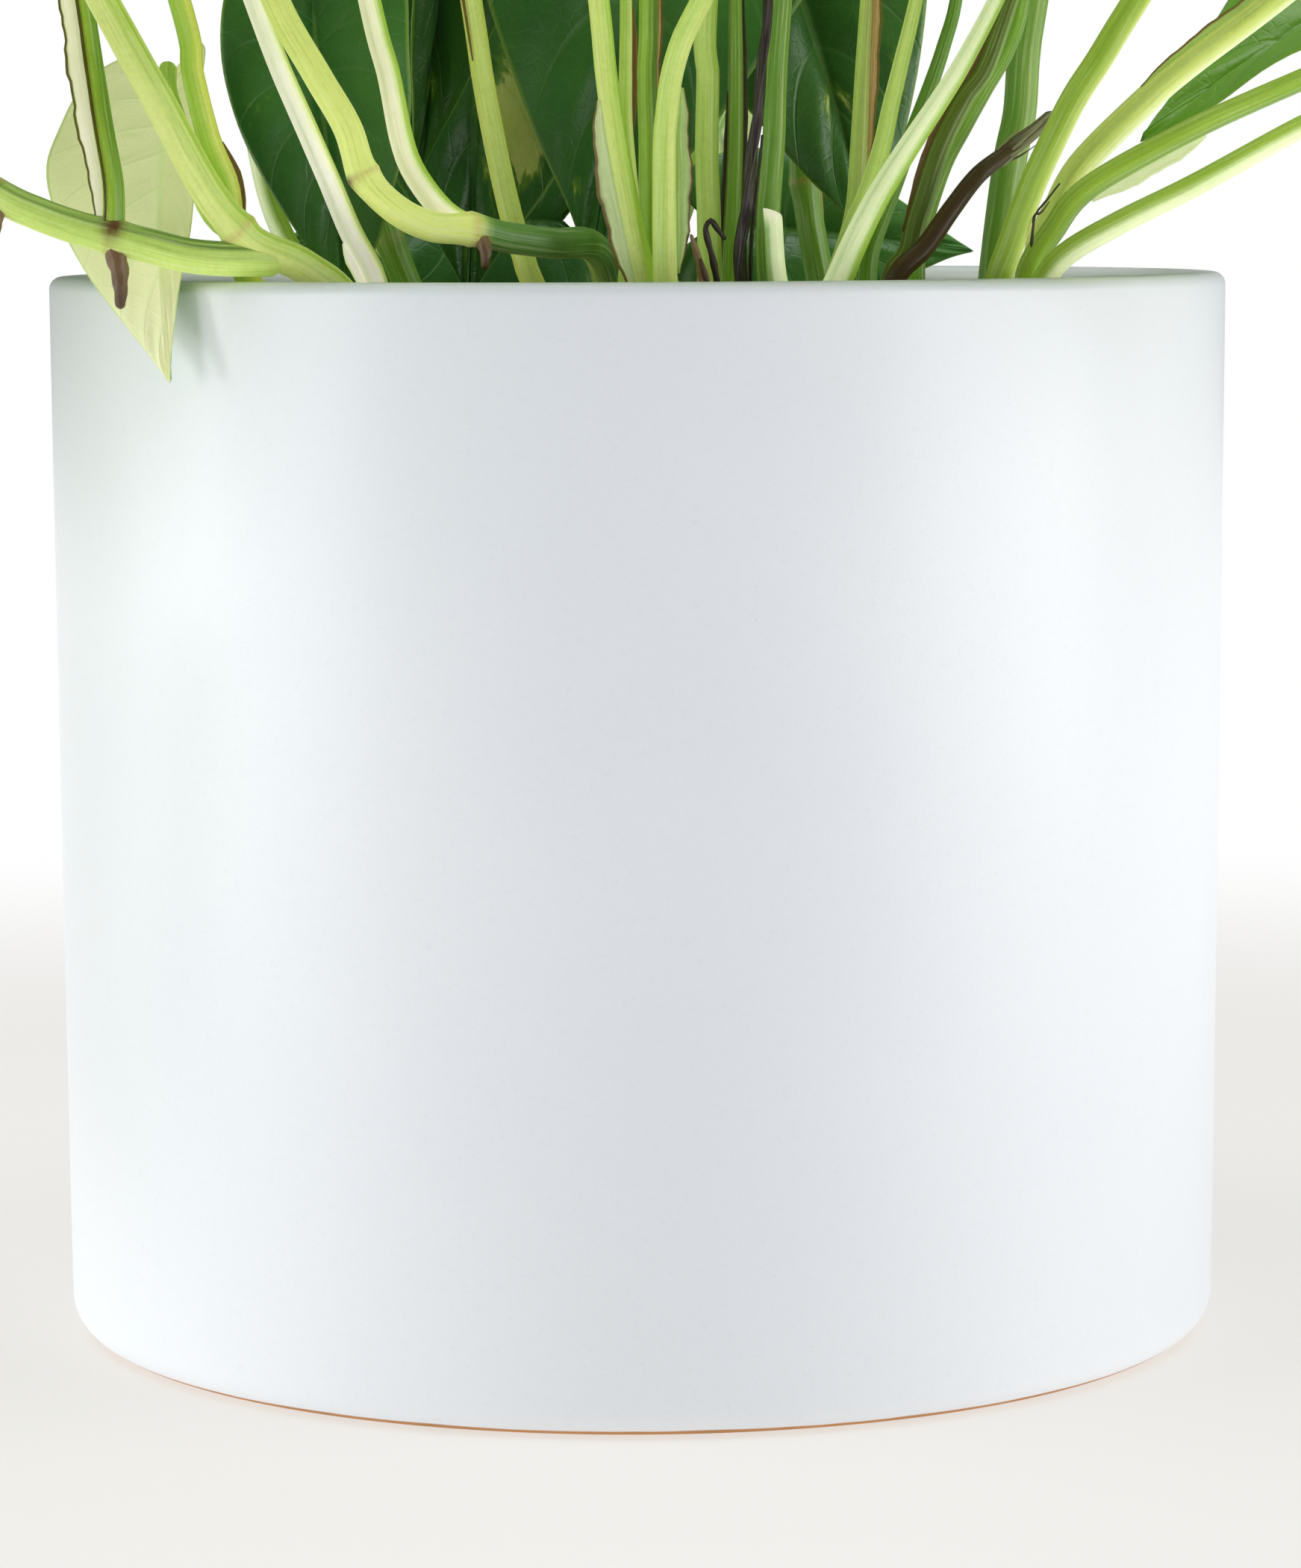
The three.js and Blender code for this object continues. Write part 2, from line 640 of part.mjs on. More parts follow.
        radii: [1.8, 1.3], bare: true },
      { points: [[39, -53, 150], [34, -49, 157], [33.5, -47, 165], [37.5, -46, 176.2], [42.7, -46, 190.1],
        [44.5, -46, 195.5], [46.2, -46, 201.8], [47.5, -46, 214],
        [47, -45, 230]], radii: [1.8, 0.5], bare: true },
      { points: [[39.5, -51, 149], [40.5, -43, 157], [40.8, -42, 166], [44.2, -43, 177.3], [47.5, -44, 183.7],
        [50.6, -44, 189.1], [53.8, -44, 194.5], [56, -44, 201], [57.5, -43, 214],
        [58, -41, 232]], radii: [1.8, 0.5], bare: true },
    ],
  },
  {
    name: 'vine_far_right',
    radii: [3, 2.8],
    stem: [[52, -24, 112], [52, -28, 140], [54, -38, 151], [57, -46, 157]],
    nubs: [],
    rings: [],
    stalks: [
      { points: [[53, -34, 147], [52.5, -33, 156], [53.4, -33, 166.4], [55, -33, 178.9], [56.4, -33, 185.9],
        [57, -33, 194.5], [58.2, -33, 202.5]], radii: [2.6, 2.2] },
      { points: [[55, -42, 154], [51.4, -58, 160], [53.5, -60, 167.6], [56.1, -61, 175], [58.9, -62, 181.3],
        [62.1, -62, 187.6], [65.5, -62, 192.8], [70, -62, 200.1]], radii: [2, 1.8] },
      { points: [[54, -36, 150], [58.5, -29, 160], [60, -28, 167], [62, -28, 171], [66, -28, 178.3],
        [75.9, -28, 188.1], [82.5, -28, 193.6], [93.4, -28, 201.7]], radii: [2.2, 2] },
      { points: [[56, -45, 156], [56.5, -50, 163], [59.9, -50, 168.6], [65.3, -50, 175], [80.3, -50, 183.3],
        [95.6, -50, 190.1], [104, -50, 193.5]] },
      { points: [[57, -46, 156], [58.2, -53, 161.2], [61.5, -55, 165.4], [69.1, -56, 169.9],
        [79.7, -56, 175.1],
        [94.9, -56, 183.3], [104, -57, 187.5]] },
    ],
  },
  {
    name: 'vine_back_left',
    radii: [2.6, 2],
    stem: [[-30, 10, 112], [-31, 6, 140], [-34, 0, 156], [-38, -4, 168], [-42, -6, 182], [-45, -8, 196]],
    nubs: [],
    rings: [3],
    stalks: [
      { points: [[-34, 0, 156], [-39, -18, 160], [-43, -31, 168], [-43.3, -35, 177], [-43, -35, 186.4],
        [-41.2, -35, 196.2], [-40.6, -35, 206]] },
      { points: [[-42, -6, 182], [-45, -12, 194], [-49, -22, 204], [-49.5, -31, 208]],
        hang: { base: [-47, -39, 204], tip: [-42, -44, 157], facing: [-0.2, -1, 0.3],
          form: { halves: [0.75, 1], roll: 0.1, width: 1, fold: 0.4, camber: 0.08, wave: 0.02,
            sweep: 0, bend: 0.4 } } },
      { points: [[-36, -3, 164], [-46, 6, 178], [-52, 16, 196]] },
      { points: [[-44.7, -8, 195], [-41, -5, 210], [-37, -3, 226], [-32, -5, 242]],
        hang: { base: [-29, -9, 250], tip: [-33.5, -14, 176], facing: [0.5, -1, 0.3],
          form: { roll: 0, width: 0.75, fold: 0.95, camber: 0.1, wave: 0.01, sweep: 0, bend: 0.3 } } },
    ],
  },
  {
    name: 'vine_back',
    radii: [2.6, 2],
    stem: [[0, 28, 112], [0, 32, 140], [-2, 34, 158], [-4, 34, 176], [-4, 32, 194]],
    nubs: [],
    rings: [3],
    stalks: [
      { points: [[-4, 33, 185], [-12, 32, 204], [-19, 27, 220], [-22, 23, 229]],
        hang: { base: [-23, 18, 232], tip: [-26, 5, 158], facing: [0, -1, 0.4],
          form: { roll: 0, width: 1, fold: 0.2, camber: 0.1, wave: 0.03, sweep: 0, bend: 0.4 } } },
      { points: [[-4, 33, 190], [3, 27, 212], [13, 12, 234], [13, -4, 245]],
        hang: { base: [7, -15, 246], tip: [-7, -36, 163], facing: [0.1, -1, 0.4],
          form: { roll: 0, width: 0.95, fold: 0.25, camber: 0.1, wave: 0.02, sweep: 0, bend: 0.4 } } },
      { points: [[-2, 34, 158], [-8, 46, 172], [-14, 58, 190]] },
      { points: [[-1.5, 33, 154], [6, 44, 168], [13, 55, 186]] },
      { points: [[-0.5, 32, 148], [-7, 38, 156], [-11, 40, 165]], last: true,
        hang: { base: [-12, 35, 170], tip: [-58, 30, 166], facing: [0, -1, 0.3],
          form: { roll: 0, width: 0.9, fold: 0.15, camber: 0.08, wave: 0.02, sweep: 0, bend: 0.35 } } },
      { points: [[0, 32, 149], [7, 37, 157], [11, 40, 165]], last: true,
        hang: { base: [12, 36, 169], tip: [54, 34, 165], facing: [0, -1, 0.3],
          form: { roll: 0, width: 0.8, fold: 0.15, camber: 0.08, wave: 0.02, sweep: 0, bend: 0.35 } } },
    ],
  },
  {
    name: 'vine_back_right',
    radii: [2.6, 2],
    stem: [[34, 10, 112], [33, 10, 140], [29, 8, 158], [26, 8, 176], [25, 10, 194]],
    nubs: [],
    rings: [3],
    stalks: [
      { points: [[26, 8, 180], [21, 8, 202], [18, 8, 216], [17, 7, 226]],
        hang: { base: [16, 1, 229], tip: [36, -14, 165], facing: [0.2, -1, 0.4],
          form: { roll: 0, width: 0.85, fold: 0.2, camber: 0.1, wave: 0.02, sweep: 0, bend: 0.4 } } },
      { points: [[25.3, 9.5, 190], [31, 16, 212], [56, 34, 226], [100, 55, 221], [134, 54, 211]],
        hang: { base: [150, 26, 222], tip: [78, 18, 183], facing: [0, -0.5, 0.85],
          form: { roll: 0.2, width: 1, fold: 0.2, camber: 0.08, wave: 0.03, sweep: 0, bend: 0.3 } } },
      { points: [[28, 8, 164], [27, 24, 180], [27, 38, 200]] },
    ],
  },
];

// A stalk's hand-set points, with the first moved onto the nearest point of its stem
function rootedPoints(vine, stalk) {
  const points = toVectors(stalk.points);
  const stemPoints = smoothCurve(toVectors(vine.stem)).getPoints(240);
  const gapTo = (point) => point.distanceTo(points[0]);
  points[0] = stemPoints.reduce((best, point) => (gapTo(point) < gapTo(best) ? point : best));
  return points;
}

// Each stem with its stalks, a branch after the stem that it leaves
const stems = vines.flatMap((vine) => (vine.branch ? [vine, vine.branch] : [vine]));

// Stems, bare stalks and most hanging blades come first, then the leaves that find their own room, then
// the low blades behind the stems
for (const stem of stems) {
  placedBars.push(barCloud(toVectors(stem.stem), 0));
  for (const stalk of stem.stalks) {
    stalk.route = rootedPoints(stem, stalk);
    if (stalk.last) {
      continue;
    }
    placedBars.push(barCloud(stalk.route, 0));
    if (stalk.hang) {
      stalk.full = hangLeaf(stalk.route, stalk.hang);
    } else if (stalk.bare) {
      stalk.full = stalk.route;
    }
  }
}
const growing = [...stems].reverse()
  .flatMap((stem) => stem.stalks.filter((stalk) => !stalk.full && !stalk.last));
for (const stalk of growing) {
  const last = stalk.route[stalk.route.length - 1];
  const course = last.clone().sub(stalk.route[stalk.route.length - 2]).normalize();
  waysUp.push(barCloud([last, last.clone().addScaledVector(course, wayLength)], 1));
}
for (const stalk of growing) {
  waysUp.shift();
  stalk.full = growLeaf(stalk.route, stalk.spread ?? usualSpread) ?? youngSpear(stalk);
}
for (const stalk of stems.flatMap((stem) => stem.stalks.filter((low) => low.last))) {
  stalk.full = hangLeaf(stalk.route, stalk.hang);
}

// A root nub under a node, drawn out to a blunt point
function nubGeometry([from, to, radius]) {
  return taperedBar(toVectors([from, to]), radius, radius * 0.3, stalkSides);
}

// A low ring round a stem at one of its nodes
function ringGeometry(stem, index) {
  const points = toVectors(stem.stem);
  const course = points[index + 1].clone().sub(points[index - 1]).normalize();
  const radius = stem.radii[0] + ringRise;
  const start = points[index].clone().addScaledVector(course, -ringHalfLength);
  const end = points[index].clone().addScaledVector(course, ringHalfLength);
  return taperedBar([start, end], radius, radius, stemSides);
}

// A stem with its stalks, nubs and rings as one solid
function stemSolid(stem) {
  let solid = toSolid(taperedBar(toVectors(stem.stem), stem.radii[0], stem.radii[1], stemSides));
  for (const stalk of stem.stalks) {
    const [start, end] = stalk.radii ?? [stalkStartRadius, stalkEndRadius];
    solid = solid.add(toSolid(taperedBar(stalk.full, start, end, stalkSides)));
  }
  for (const nub of stem.nubs) {
    solid = solid.add(toSolid(nubGeometry(nub)));
  }
  for (const index of stem.rings) {
    solid = solid.add(toSolid(ringGeometry(stem, index)));
  }
  return solid;
}

// The plain hole that a stem stands in, a little wider and deeper than the stem
function soilHole(stem) {
  const points = toVectors(stem.stem);
  const radius = stem.radii[0] + fitGap;
  const course = points[1].clone().sub(points[0]).normalize();
  const below = points[0].clone().addScaledVector(course, -1);
  const above = points[0].clone().addScaledVector(course, 3);
  const bottom = [below, above];
  return toSolid(taperedBar(points, radius, stem.radii[1] + fitGap, stemSides))
    .add(toSolid(taperedBar(bottom, radius, radius, stemSides)));
}

let soil = toSolid(soilGeometry());
for (const vine of vines) {
  const solid = vine.branch ? stemSolid(vine).add(stemSolid(vine.branch)) : stemSolid(vine);
  soil = soil.subtract(soilHole(vine));
  addMesh(vine.name, toGeometry(solid), stemMaterial);
}
addMesh('pot', potGeometry(), potMaterial);
addMesh('soil', toGeometry(soil), soilMaterial);
bladeNodes.forEach((leaf, i) => {
  addMesh(`leaf_${String(i + 1).padStart(2, '0')}`, bladeGeometry(leaf), leafMaterial);
});

export default part;
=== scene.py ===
import bpy
import math
import numpy as np
from mathutils import Matrix, Vector
from mathutils.kdtree import KDTree


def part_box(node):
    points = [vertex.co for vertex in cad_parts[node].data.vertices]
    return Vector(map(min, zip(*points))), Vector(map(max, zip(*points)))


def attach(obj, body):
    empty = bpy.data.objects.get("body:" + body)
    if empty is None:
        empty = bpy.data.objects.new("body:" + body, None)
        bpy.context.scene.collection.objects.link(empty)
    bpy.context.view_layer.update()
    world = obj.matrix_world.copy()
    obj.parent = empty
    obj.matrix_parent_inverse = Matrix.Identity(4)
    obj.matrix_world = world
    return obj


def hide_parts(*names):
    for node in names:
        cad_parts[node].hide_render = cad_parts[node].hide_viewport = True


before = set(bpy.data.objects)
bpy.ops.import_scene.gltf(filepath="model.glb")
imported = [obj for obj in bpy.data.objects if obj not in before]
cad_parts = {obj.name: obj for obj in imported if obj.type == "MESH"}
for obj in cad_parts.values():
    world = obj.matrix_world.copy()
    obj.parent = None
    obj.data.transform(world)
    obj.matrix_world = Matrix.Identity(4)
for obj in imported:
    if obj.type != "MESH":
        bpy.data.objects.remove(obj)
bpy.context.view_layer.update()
print("frame loaded")

mm = 0.001
fullTurn = 2 * math.pi
white = (1.0, 1.0, 1.0, 1.0)
black = (0.0, 0.0, 0.0, 1.0)


def shade(red, green, blue):  # a screen colour from 0 to 255 as linear light
    screen = np.array([red, green, blue]) / 255
    light = np.where(screen <= 0.04045, screen / 12.92, ((screen + 0.055) / 1.055) ** 2.4)
    return (*light.tolist(), 1.0)


# Camera, with the frame's height as the sensor's long side
cameraSettings = {"place": (0, -0.8091, 0.1736), "yaw": 0.12, "pitch": 6.38, "roll": 0.27, "lens": 120.2}
cameraData = bpy.data.cameras.new("camera")
cameraData.sensor_fit = "VERTICAL"
cameraData.sensor_height = 36
cameraData.sensor_width = 36
cameraData.lens = cameraSettings["lens"]
camera = bpy.data.objects.new("camera", cameraData)
camera.matrix_world = (
    Matrix.Translation(cameraSettings["place"])
    @ Matrix.Rotation(math.radians(-cameraSettings["yaw"]), 4, "Z")
    @ Matrix.Rotation(math.radians(90 - cameraSettings["pitch"]), 4, "X")
    @ Matrix.Rotation(math.radians(-cameraSettings["roll"]), 4, "Z")
)
bpy.context.scene.collection.objects.link(camera)
bpy.context.scene.camera = camera

# How the plant grows: the same seeded rule and points as the solids, in millimetres
growth = {
    "firstDraw": 25,
    "midribPower": 1.8,
    "waveCount": 2.2,
    "sidePhase": 1.9,
    "bladeThickness": 0.9,
    "stalkGap": 0.6,
    "stalkRadii": [1.8, 1.2],
    "spearLength": 26,
    "spearRadii": [1.8, 0.5],
    "tries": 300,
    "sizeShares": [1, 0.74, 0.5],
    "bladeToBlade": 7.8,
    "bladeToBar": 7,
    "barToBar": 4.6,
    "startRoom": 200,
    "enoughRoom": 45,
    "crownLevel": 190,
    "crownFlatness": 1.15,
    "crownPull": 0.2,
    "wayLength": 40,
    "steepestApproach": 0.42,
    "lookAhead": 50,
    "leanSpread": 1.1,
    "headingSpread": 0.8,
    "straightShare": 0.4,
    "turnShare": 0.08,
}
usualSpread = {"climb": [0.3, 1.4], "reach": [40, 140], "drop": [0, 1.15], "length": [64, 92]}
vineSpread = {"climb": [0.1, 1.2], "reach": [28, 60], "drop": [0.1, 1.2], "length": [66, 92]}


def hang(base, tip, facing, **form):  # a blade given between two points
    return {"base": base, "tip": tip, "facing": facing, "form": form}


vines = [
  {
    "name": "vine_left", "radii": [2.8, 1.9],
    "stem": [
      [-34, -44, 112], [-36, -50, 140], [-41, -60, 158], [-47, -64.5, 164.2], [-53, -67, 167],
      [-56, -68, 169.3], [-60.6, -69, 175.5], [-66.1, -70, 186], [-71.7, -70, 196.3], [-77, -71, 206.5],
      [-84, -74, 222], [-93, -79, 238], [-104, -86, 249],
    ],
    "nubs": [], "rings": [5, 9],
    "branch": {
      "radii": [2.5, 1.7],
      "stem": [
        [-50, -65.5, 165.3], [-55, -68, 165.4], [-59, -69.3, 165.5], [-63.4, -69.8, 166],
        [-68.5, -69.5, 167.3], [-73.8, -69, 168.6], [-79.1, -69, 170], [-84.3, -69, 171.9],
        [-89.4, -69, 174.3], [-102, -71, 182], [-119, -72, 188], [-137, -69, 186], [-152, -63, 174],
        [-163, -57, 154], [-168, -52, 130], [-169, -48, 112],
      ],
      "nubs": [[[-73.8, -69, 168.6], [-72.6, -70.5, 158.5], 1.9], [[-90, -69, 174], [-91, -71, 167], 1.5]],
      "rings": [5],
      "stalks": [
        {"points": [[-73.8, -69, 169], [-73.8, -68, 175.6], [-75.1, -66, 182.9], [-76.5, -63.5, 191.2],
          [-78.2, -61, 202]]},
        {"points": [[-89.4, -69, 174.3], [-97, -76, 183], [-107, -83, 196]]},
        {"points": [[-119, -72, 188], [-121, -64, 197], [-124, -58, 208]], "spread": vineSpread},
        {"points": [[-137, -69, 186], [-146, -76, 192], [-154, -82, 200]], "spread": vineSpread},
        {"points": [[-152, -63, 174], [-162, -54, 180], [-170, -48, 188]], "spread": vineSpread},
        {"points": [[-163, -57, 154], [-172, -62, 156], [-181, -66, 160]], "spread": vineSpread},
        {"points": [[-168.5, -49, 117], [-169.5, -46.5, 106]], "hang": hang([-176, -46, 97],
          [-191, -51, 30], [-1, -0.2, 0.2], bend=0.5)},
      ],
    },
    "stalks": [
      {"points": [[-56, -66, 167], [-60, -66, 172], [-63.5, -64, 181], [-66.5, -58, 188.5]],
        "hang": hang([-66.5, -49, 191.5], [-66, -68.8, 148], [0.3, 0.9, 0.3], roll=0, width=1.05,
        halves=[0.28, 1], fold=0.05, camber=0.06, wave=0.015, sweep=0, bend=-0.5)},
      {"points": [[-39, -57, 152], [-50, -55, 156], [-55.8, -58, 162.8], [-57.3, -61, 168.1],
        [-57.9, -63, 175.6], [-60.3, -64, 182], [-62.6, -64, 191.5], [-64.4, -64, 202.1]]},
      {"points": [[-39, -57, 153], [-37, -57.5, 158], [-37.7, -58, 163], [-40.7, -60, 169.1],
        [-43.7, -61, 176.5], [-46.8, -62, 183.9], [-50.4, -62, 192.3], [-53.9, -62, 201.7]]},
      {"points": [[-39, -57, 153], [-46, -40, 159], [-53, -31, 170], [-56, -30, 181], [-57.1, -30, 193],
        [-59.3, -30, 203]]},
      {"points": [[-77, -71, 206.5], [-80, -78, 214], [-84, -86, 224]]},
      {"points": [[-103, -85, 248], [-112, -90, 252], [-122, -94, 253]]},
    ],
  },
  {
    "name": "vine_front", "radii": [2.5, 1.8],
    "stem": [
      [-4, -24, 112], [-4, -28, 140], [-4, -40, 158], [-6, -52, 166.5], [-12, -60, 167.3],
      [-18.3, -64, 168.2], [-23.2, -67.5, 169.4], [-28.7, -69, 169.8], [-33.8, -70, 172.3],
      [-38.2, -70, 177], [-40.5, -70, 183.8], [-44.7, -69, 191.1], [-50.4, -68, 201.5], [-55, -67, 216],
      [-59, -68, 232], [-63, -70, 246],
    ],
    "nubs": [[[-22, -68, 168.5], [-21.5, -69.5, 163.8], 1.3]], "rings": [6, 9],
    "stalks": [
      {"points": [[-23.2, -67.5, 169.4], [-27.2, -66, 171.9], [-31.2, -64, 177], [-33.2, -63, 182],
        [-35, -62, 191.2], [-37.6, -62, 201.6]]},
      {"points": [[-4, -36, 150], [-11, -48, 154], [-15.2, -54, 162.1], [-16.4, -54, 165.8],
        [-18, -54, 171.1], [-20.1, -54, 180.7], [-22, -54, 191.3], [-23.5, -54, 201.9]]},
      {"points": [[-62.5, -70, 245], [-66, -68, 256], [-70, -66, 268]]},
    ],
  },
  {
    "name": "vine_centre", "radii": [3, 2.6],
    "stem": [[14, -36, 112], [14, -42, 140], [10, -52, 152], [6, -58, 157]],
    "nubs": [], "rings": [],
    "stalks": [
      {"points": [[6, -58, 156], [2, -64, 160], [0.5, -66, 165], [-0.9, -66, 171.1], [-2.9, -66, 181.5],
        [-4.2, -66, 190.9], [-5.2, -66, 201.3]]},
      {"points": [[7, -57, 155], [4.4, -66, 160], [3.9, -68, 166], [3.9, -68, 180.5], [4.3, -68, 185.7],
        [5, -69, 190.8], [6.6, -70, 196], [9.2, -71, 201.1]]},
      {"points": [[10, -52, 152], [10.3, -57, 158], [10.3, -58, 169.9], [10, -58, 180.5],
        [10.2, -58, 191.1], [10.1, -58, 201.6]]},
      {"points": [[8, -54, 154], [3, -52, 160], [2, -51, 170], [1.9, -51, 181.7], [1.7, -51, 192.3],
        [2, -51, 201.8]]},
      {"points": [[7, -56, 155], [-1, -60, 160], [-0.6, -60, 170], [-1.5, -60, 183.2], [-1.5, -60, 191.1],
        [-1.4, -60, 201.5], [-2, -60, 214], [-3, -60, 226]], "radii": [1.4, 0.6], "bare": True},
      {"points": [[12, -48, 148], [13.1, -50, 160], [14.2, -50, 180.6], [14.3, -50, 201.8], [14, -50, 213]],
        "radii": [1.6, 1], "bare": True},
      {"points": [[11, -52, 152], [14.2, -64, 158], [14.6, -66, 166], [15.6, -66, 174], [17.4, -66, 189],
        [18.6, -66, 202], [18.6, -66, 212]], "radii": [1, 0.6], "bare": True},
    ],
  },
  {
    "name": "vine_mid_right", "radii": [3, 2.6],
    "stem": [[27, -38, 112], [27, -44, 140], [26, -54, 153], [24, -60, 157]],
    "nubs": [], "rings": [],
    "stalks": [
      {"points": [[24, -59, 156], [19.5, -62, 160], [18.6, -62, 165], [18.6, -62, 169.9],
        [19.1, -62, 177.3], [19.5, -62, 182.5], [19.8, -62, 190.9], [20.6, -62, 201.4]]},
      {"points": [[26, -54, 153], [28.5, -56, 161.9], [31.1, -56, 170.9], [31.8, -56, 180.4],
        [32.3, -56, 191], [32.9, -56, 201.5]]},
      {"points": [[26, -58, 155], [28.3, -62, 162], [30.9, -62, 169.9], [32.7, -62, 174.1],
        [34.7, -62, 180.4], [36.1, -62, 186.7], [37.6, -62, 192.9], [39.6, -62, 201.3], [42, -62, 214],
        [43, -62, 231]],
        "radii": [1.8, 0.5], "bare": True},
      {"points": [[25, -60, 156], [27.4, -67, 160], [30.5, -69, 167], [33.8, -69, 173.5], [38, -69, 180.3],
        [42.1, -70, 186.5], [45.7, -70, 192.2], [50.3, -71, 200.9], [56, -72, 213], [60, -72, 227]],
        "radii": [2.2, 0.6], "bare": True},
      {"points": [[23, -61, 157], [20, -67, 161], [19, -67.5, 172.3]], "radii": [1.6, 1.4], "bare": True},
    ],
  },
  {
    "name": "vine_right", "radii": [2.4, 1],
    "stem": [
      [42, -40, 112], [41, -44, 140], [38, -56, 154], [36.8, -60, 161.9], [41.1, -59, 166.6],
      [44.9, -58, 171.9], [48.8, -56, 176.7], [53, -52, 179.8], [56.8, -48, 182.5], [60.5, -45, 185.5],
    ],
    "nubs": [], "rings": [],
    "stalks": [
      {"points": [[38, -54, 153], [36.6, -54, 161.8], [39, -54, 165.5], [40.3, -54, 170.8],
        [43.3, -54, 180.4], [47, -54, 187.8], [49.9, -54, 192], [53.3, -54, 201.5], [56.5, -54, 211]],
        "radii": [1.8, 1.3], "bare": True},
      {"points": [[39, -53, 150], [34, -49, 157], [33.5, -47, 165], [37.5, -46, 176.2], [42.7, -46, 190.1],
        [44.5, -46, 195.5], [46.2, -46, 201.8], [47.5, -46, 214], [47, -45, 230]], "radii": [1.8, 0.5],
        "bare": True},
      {"points": [[39.5, -51, 149], [40.5, -43, 157], [40.8, -42, 166], [44.2, -43, 177.3],
        [47.5, -44, 183.7], [50.6, -44, 189.1], [53.8, -44, 194.5], [56, -44, 201], [57.5, -43, 214],
        [58, -41, 232]], "radii": [1.8, 0.5], "bare": True},
    ],
  },
  {
    "name": "vine_far_right", "radii": [3, 2.8],
    "stem": [[52, -24, 112], [52, -28, 140], [54, -38, 151], [57, -46, 157]],
    "nubs": [], "rings": [],
    "stalks": [
      {"points": [[53, -34, 147], [52.5, -33, 156], [53.4, -33, 166.4], [55, -33, 178.9],
        [56.4, -33, 185.9], [57, -33, 194.5], [58.2, -33, 202.5]], "radii": [2.6, 2.2]},
      {"points": [[55, -42, 154], [51.4, -58, 160], [53.5, -60, 167.6], [56.1, -61, 175],
        [58.9, -62, 181.3], [62.1, -62, 187.6], [65.5, -62, 192.8], [70, -62, 200.1]], "radii": [2, 1.8]},
      {"points": [[54, -36, 150], [58.5, -29, 160], [60, -28, 167], [62, -28, 171], [66, -28, 178.3],
        [75.9, -28, 188.1], [82.5, -28, 193.6], [93.4, -28, 201.7]], "radii": [2.2, 2]},
      {"points": [[56, -45, 156], [56.5, -50, 163], [59.9, -50, 168.6], [65.3, -50, 175],
        [80.3, -50, 183.3], [95.6, -50, 190.1], [104, -50, 193.5]]},
      {"points": [[57, -46, 156], [58.2, -53, 161.2], [61.5, -55, 165.4], [69.1, -56, 169.9],
        [79.7, -56, 175.1], [94.9, -56, 183.3], [104, -57, 187.5]]},
    ],
  },
  {
    "name": "vine_back_left", "radii": [2.6, 2],
    "stem": [[-30, 10, 112], [-31, 6, 140], [-34, 0, 156], [-38, -4, 168], [-42, -6, 182], [-45, -8, 196]],
    "nubs": [], "rings": [3],
    "stalks": [
      {"points": [[-34, 0, 156], [-39, -18, 160], [-43, -31, 168], [-43.3, -35, 177], [-43, -35, 186.4],
        [-41.2, -35, 196.2], [-40.6, -35, 206]]},
      {"points": [[-42, -6, 182], [-45, -12, 194], [-49, -22, 204], [-49.5, -31, 208]],
        "hang": hang([-47, -39, 204], [-42, -44, 157], [-0.2, -1, 0.3], halves=[0.75, 1], roll=0.1, width=1,
        fold=0.4, camber=0.08, wave=0.02, sweep=0, bend=0.4)},
      {"points": [[-36, -3, 164], [-46, 6, 178], [-52, 16, 196]]},
      {"points": [[-44.7, -8, 195], [-41, -5, 210], [-37, -3, 226], [-32, -5, 242]],
        "hang": hang([-29, -9, 250], [-33.5, -14, 176], [0.5, -1, 0.3], roll=0, width=0.75, fold=0.95,
        camber=0.1, wave=0.01, sweep=0, bend=0.3)},
    ],
  },
  {
    "name": "vine_back", "radii": [2.6, 2],
    "stem": [[0, 28, 112], [0, 32, 140], [-2, 34, 158], [-4, 34, 176], [-4, 32, 194]],
    "nubs": [], "rings": [3],
    "stalks": [
      {"points": [[-4, 33, 185], [-12, 32, 204], [-19, 27, 220], [-22, 23, 229]],
        "hang": hang([-23, 18, 232], [-26, 5, 158], [0, -1, 0.4], roll=0, width=1, fold=0.2, camber=0.1,
        wave=0.03, sweep=0, bend=0.4)},
      {"points": [[-4, 33, 190], [3, 27, 212], [13, 12, 234], [13, -4, 245]], "hang": hang([7, -15, 246],
        [-7, -36, 163], [0.1, -1, 0.4], roll=0, width=0.95, fold=0.25, camber=0.1, wave=0.02, sweep=0,
        bend=0.4)},
      {"points": [[-2, 34, 158], [-8, 46, 172], [-14, 58, 190]]},
      {"points": [[-1.5, 33, 154], [6, 44, 168], [13, 55, 186]]},
      {"points": [[-0.5, 32, 148], [-7, 38, 156], [-11, 40, 165]], "last": True,
        "hang": hang([-12, 35, 170], [-58, 30, 166], [0, -1, 0.3], roll=0, width=0.9, fold=0.15,
        camber=0.08, wave=0.02, sweep=0, bend=0.35)},
      {"points": [[0, 32, 149], [7, 37, 157], [11, 40, 165]], "last": True, "hang": hang([12, 36, 169],
        [54, 34, 165], [0, -1, 0.3], roll=0, width=0.8, fold=0.15, camber=0.08, wave=0.02, sweep=0,
        bend=0.35)},
    ],
  },
  {
    "name": "vine_back_right", "radii": [2.6, 2],
    "stem": [[34, 10, 112], [33, 10, 140], [29, 8, 158], [26, 8, 176], [25, 10, 194]],
    "nubs": [], "rings": [3],
    "stalks": [
      {"points": [[26, 8, 180], [21, 8, 202], [18, 8, 216], [17, 7, 226]], "hang": hang([16, 1, 229],
        [36, -14, 165], [0.2, -1, 0.4], roll=0, width=0.85, fold=0.2, camber=0.1, wave=0.02, sweep=0,
        bend=0.4)},
      {"points": [[25.3, 9.5, 190], [31, 16, 212], [56, 34, 226], [100, 55, 221], [134, 54, 211]],
        "hang": hang([150, 26, 222], [78, 18, 183], [0, -0.5, 0.85], roll=0.2, width=1, fold=0.2,
        camber=0.08, wave=0.03, sweep=0, bend=0.3)},
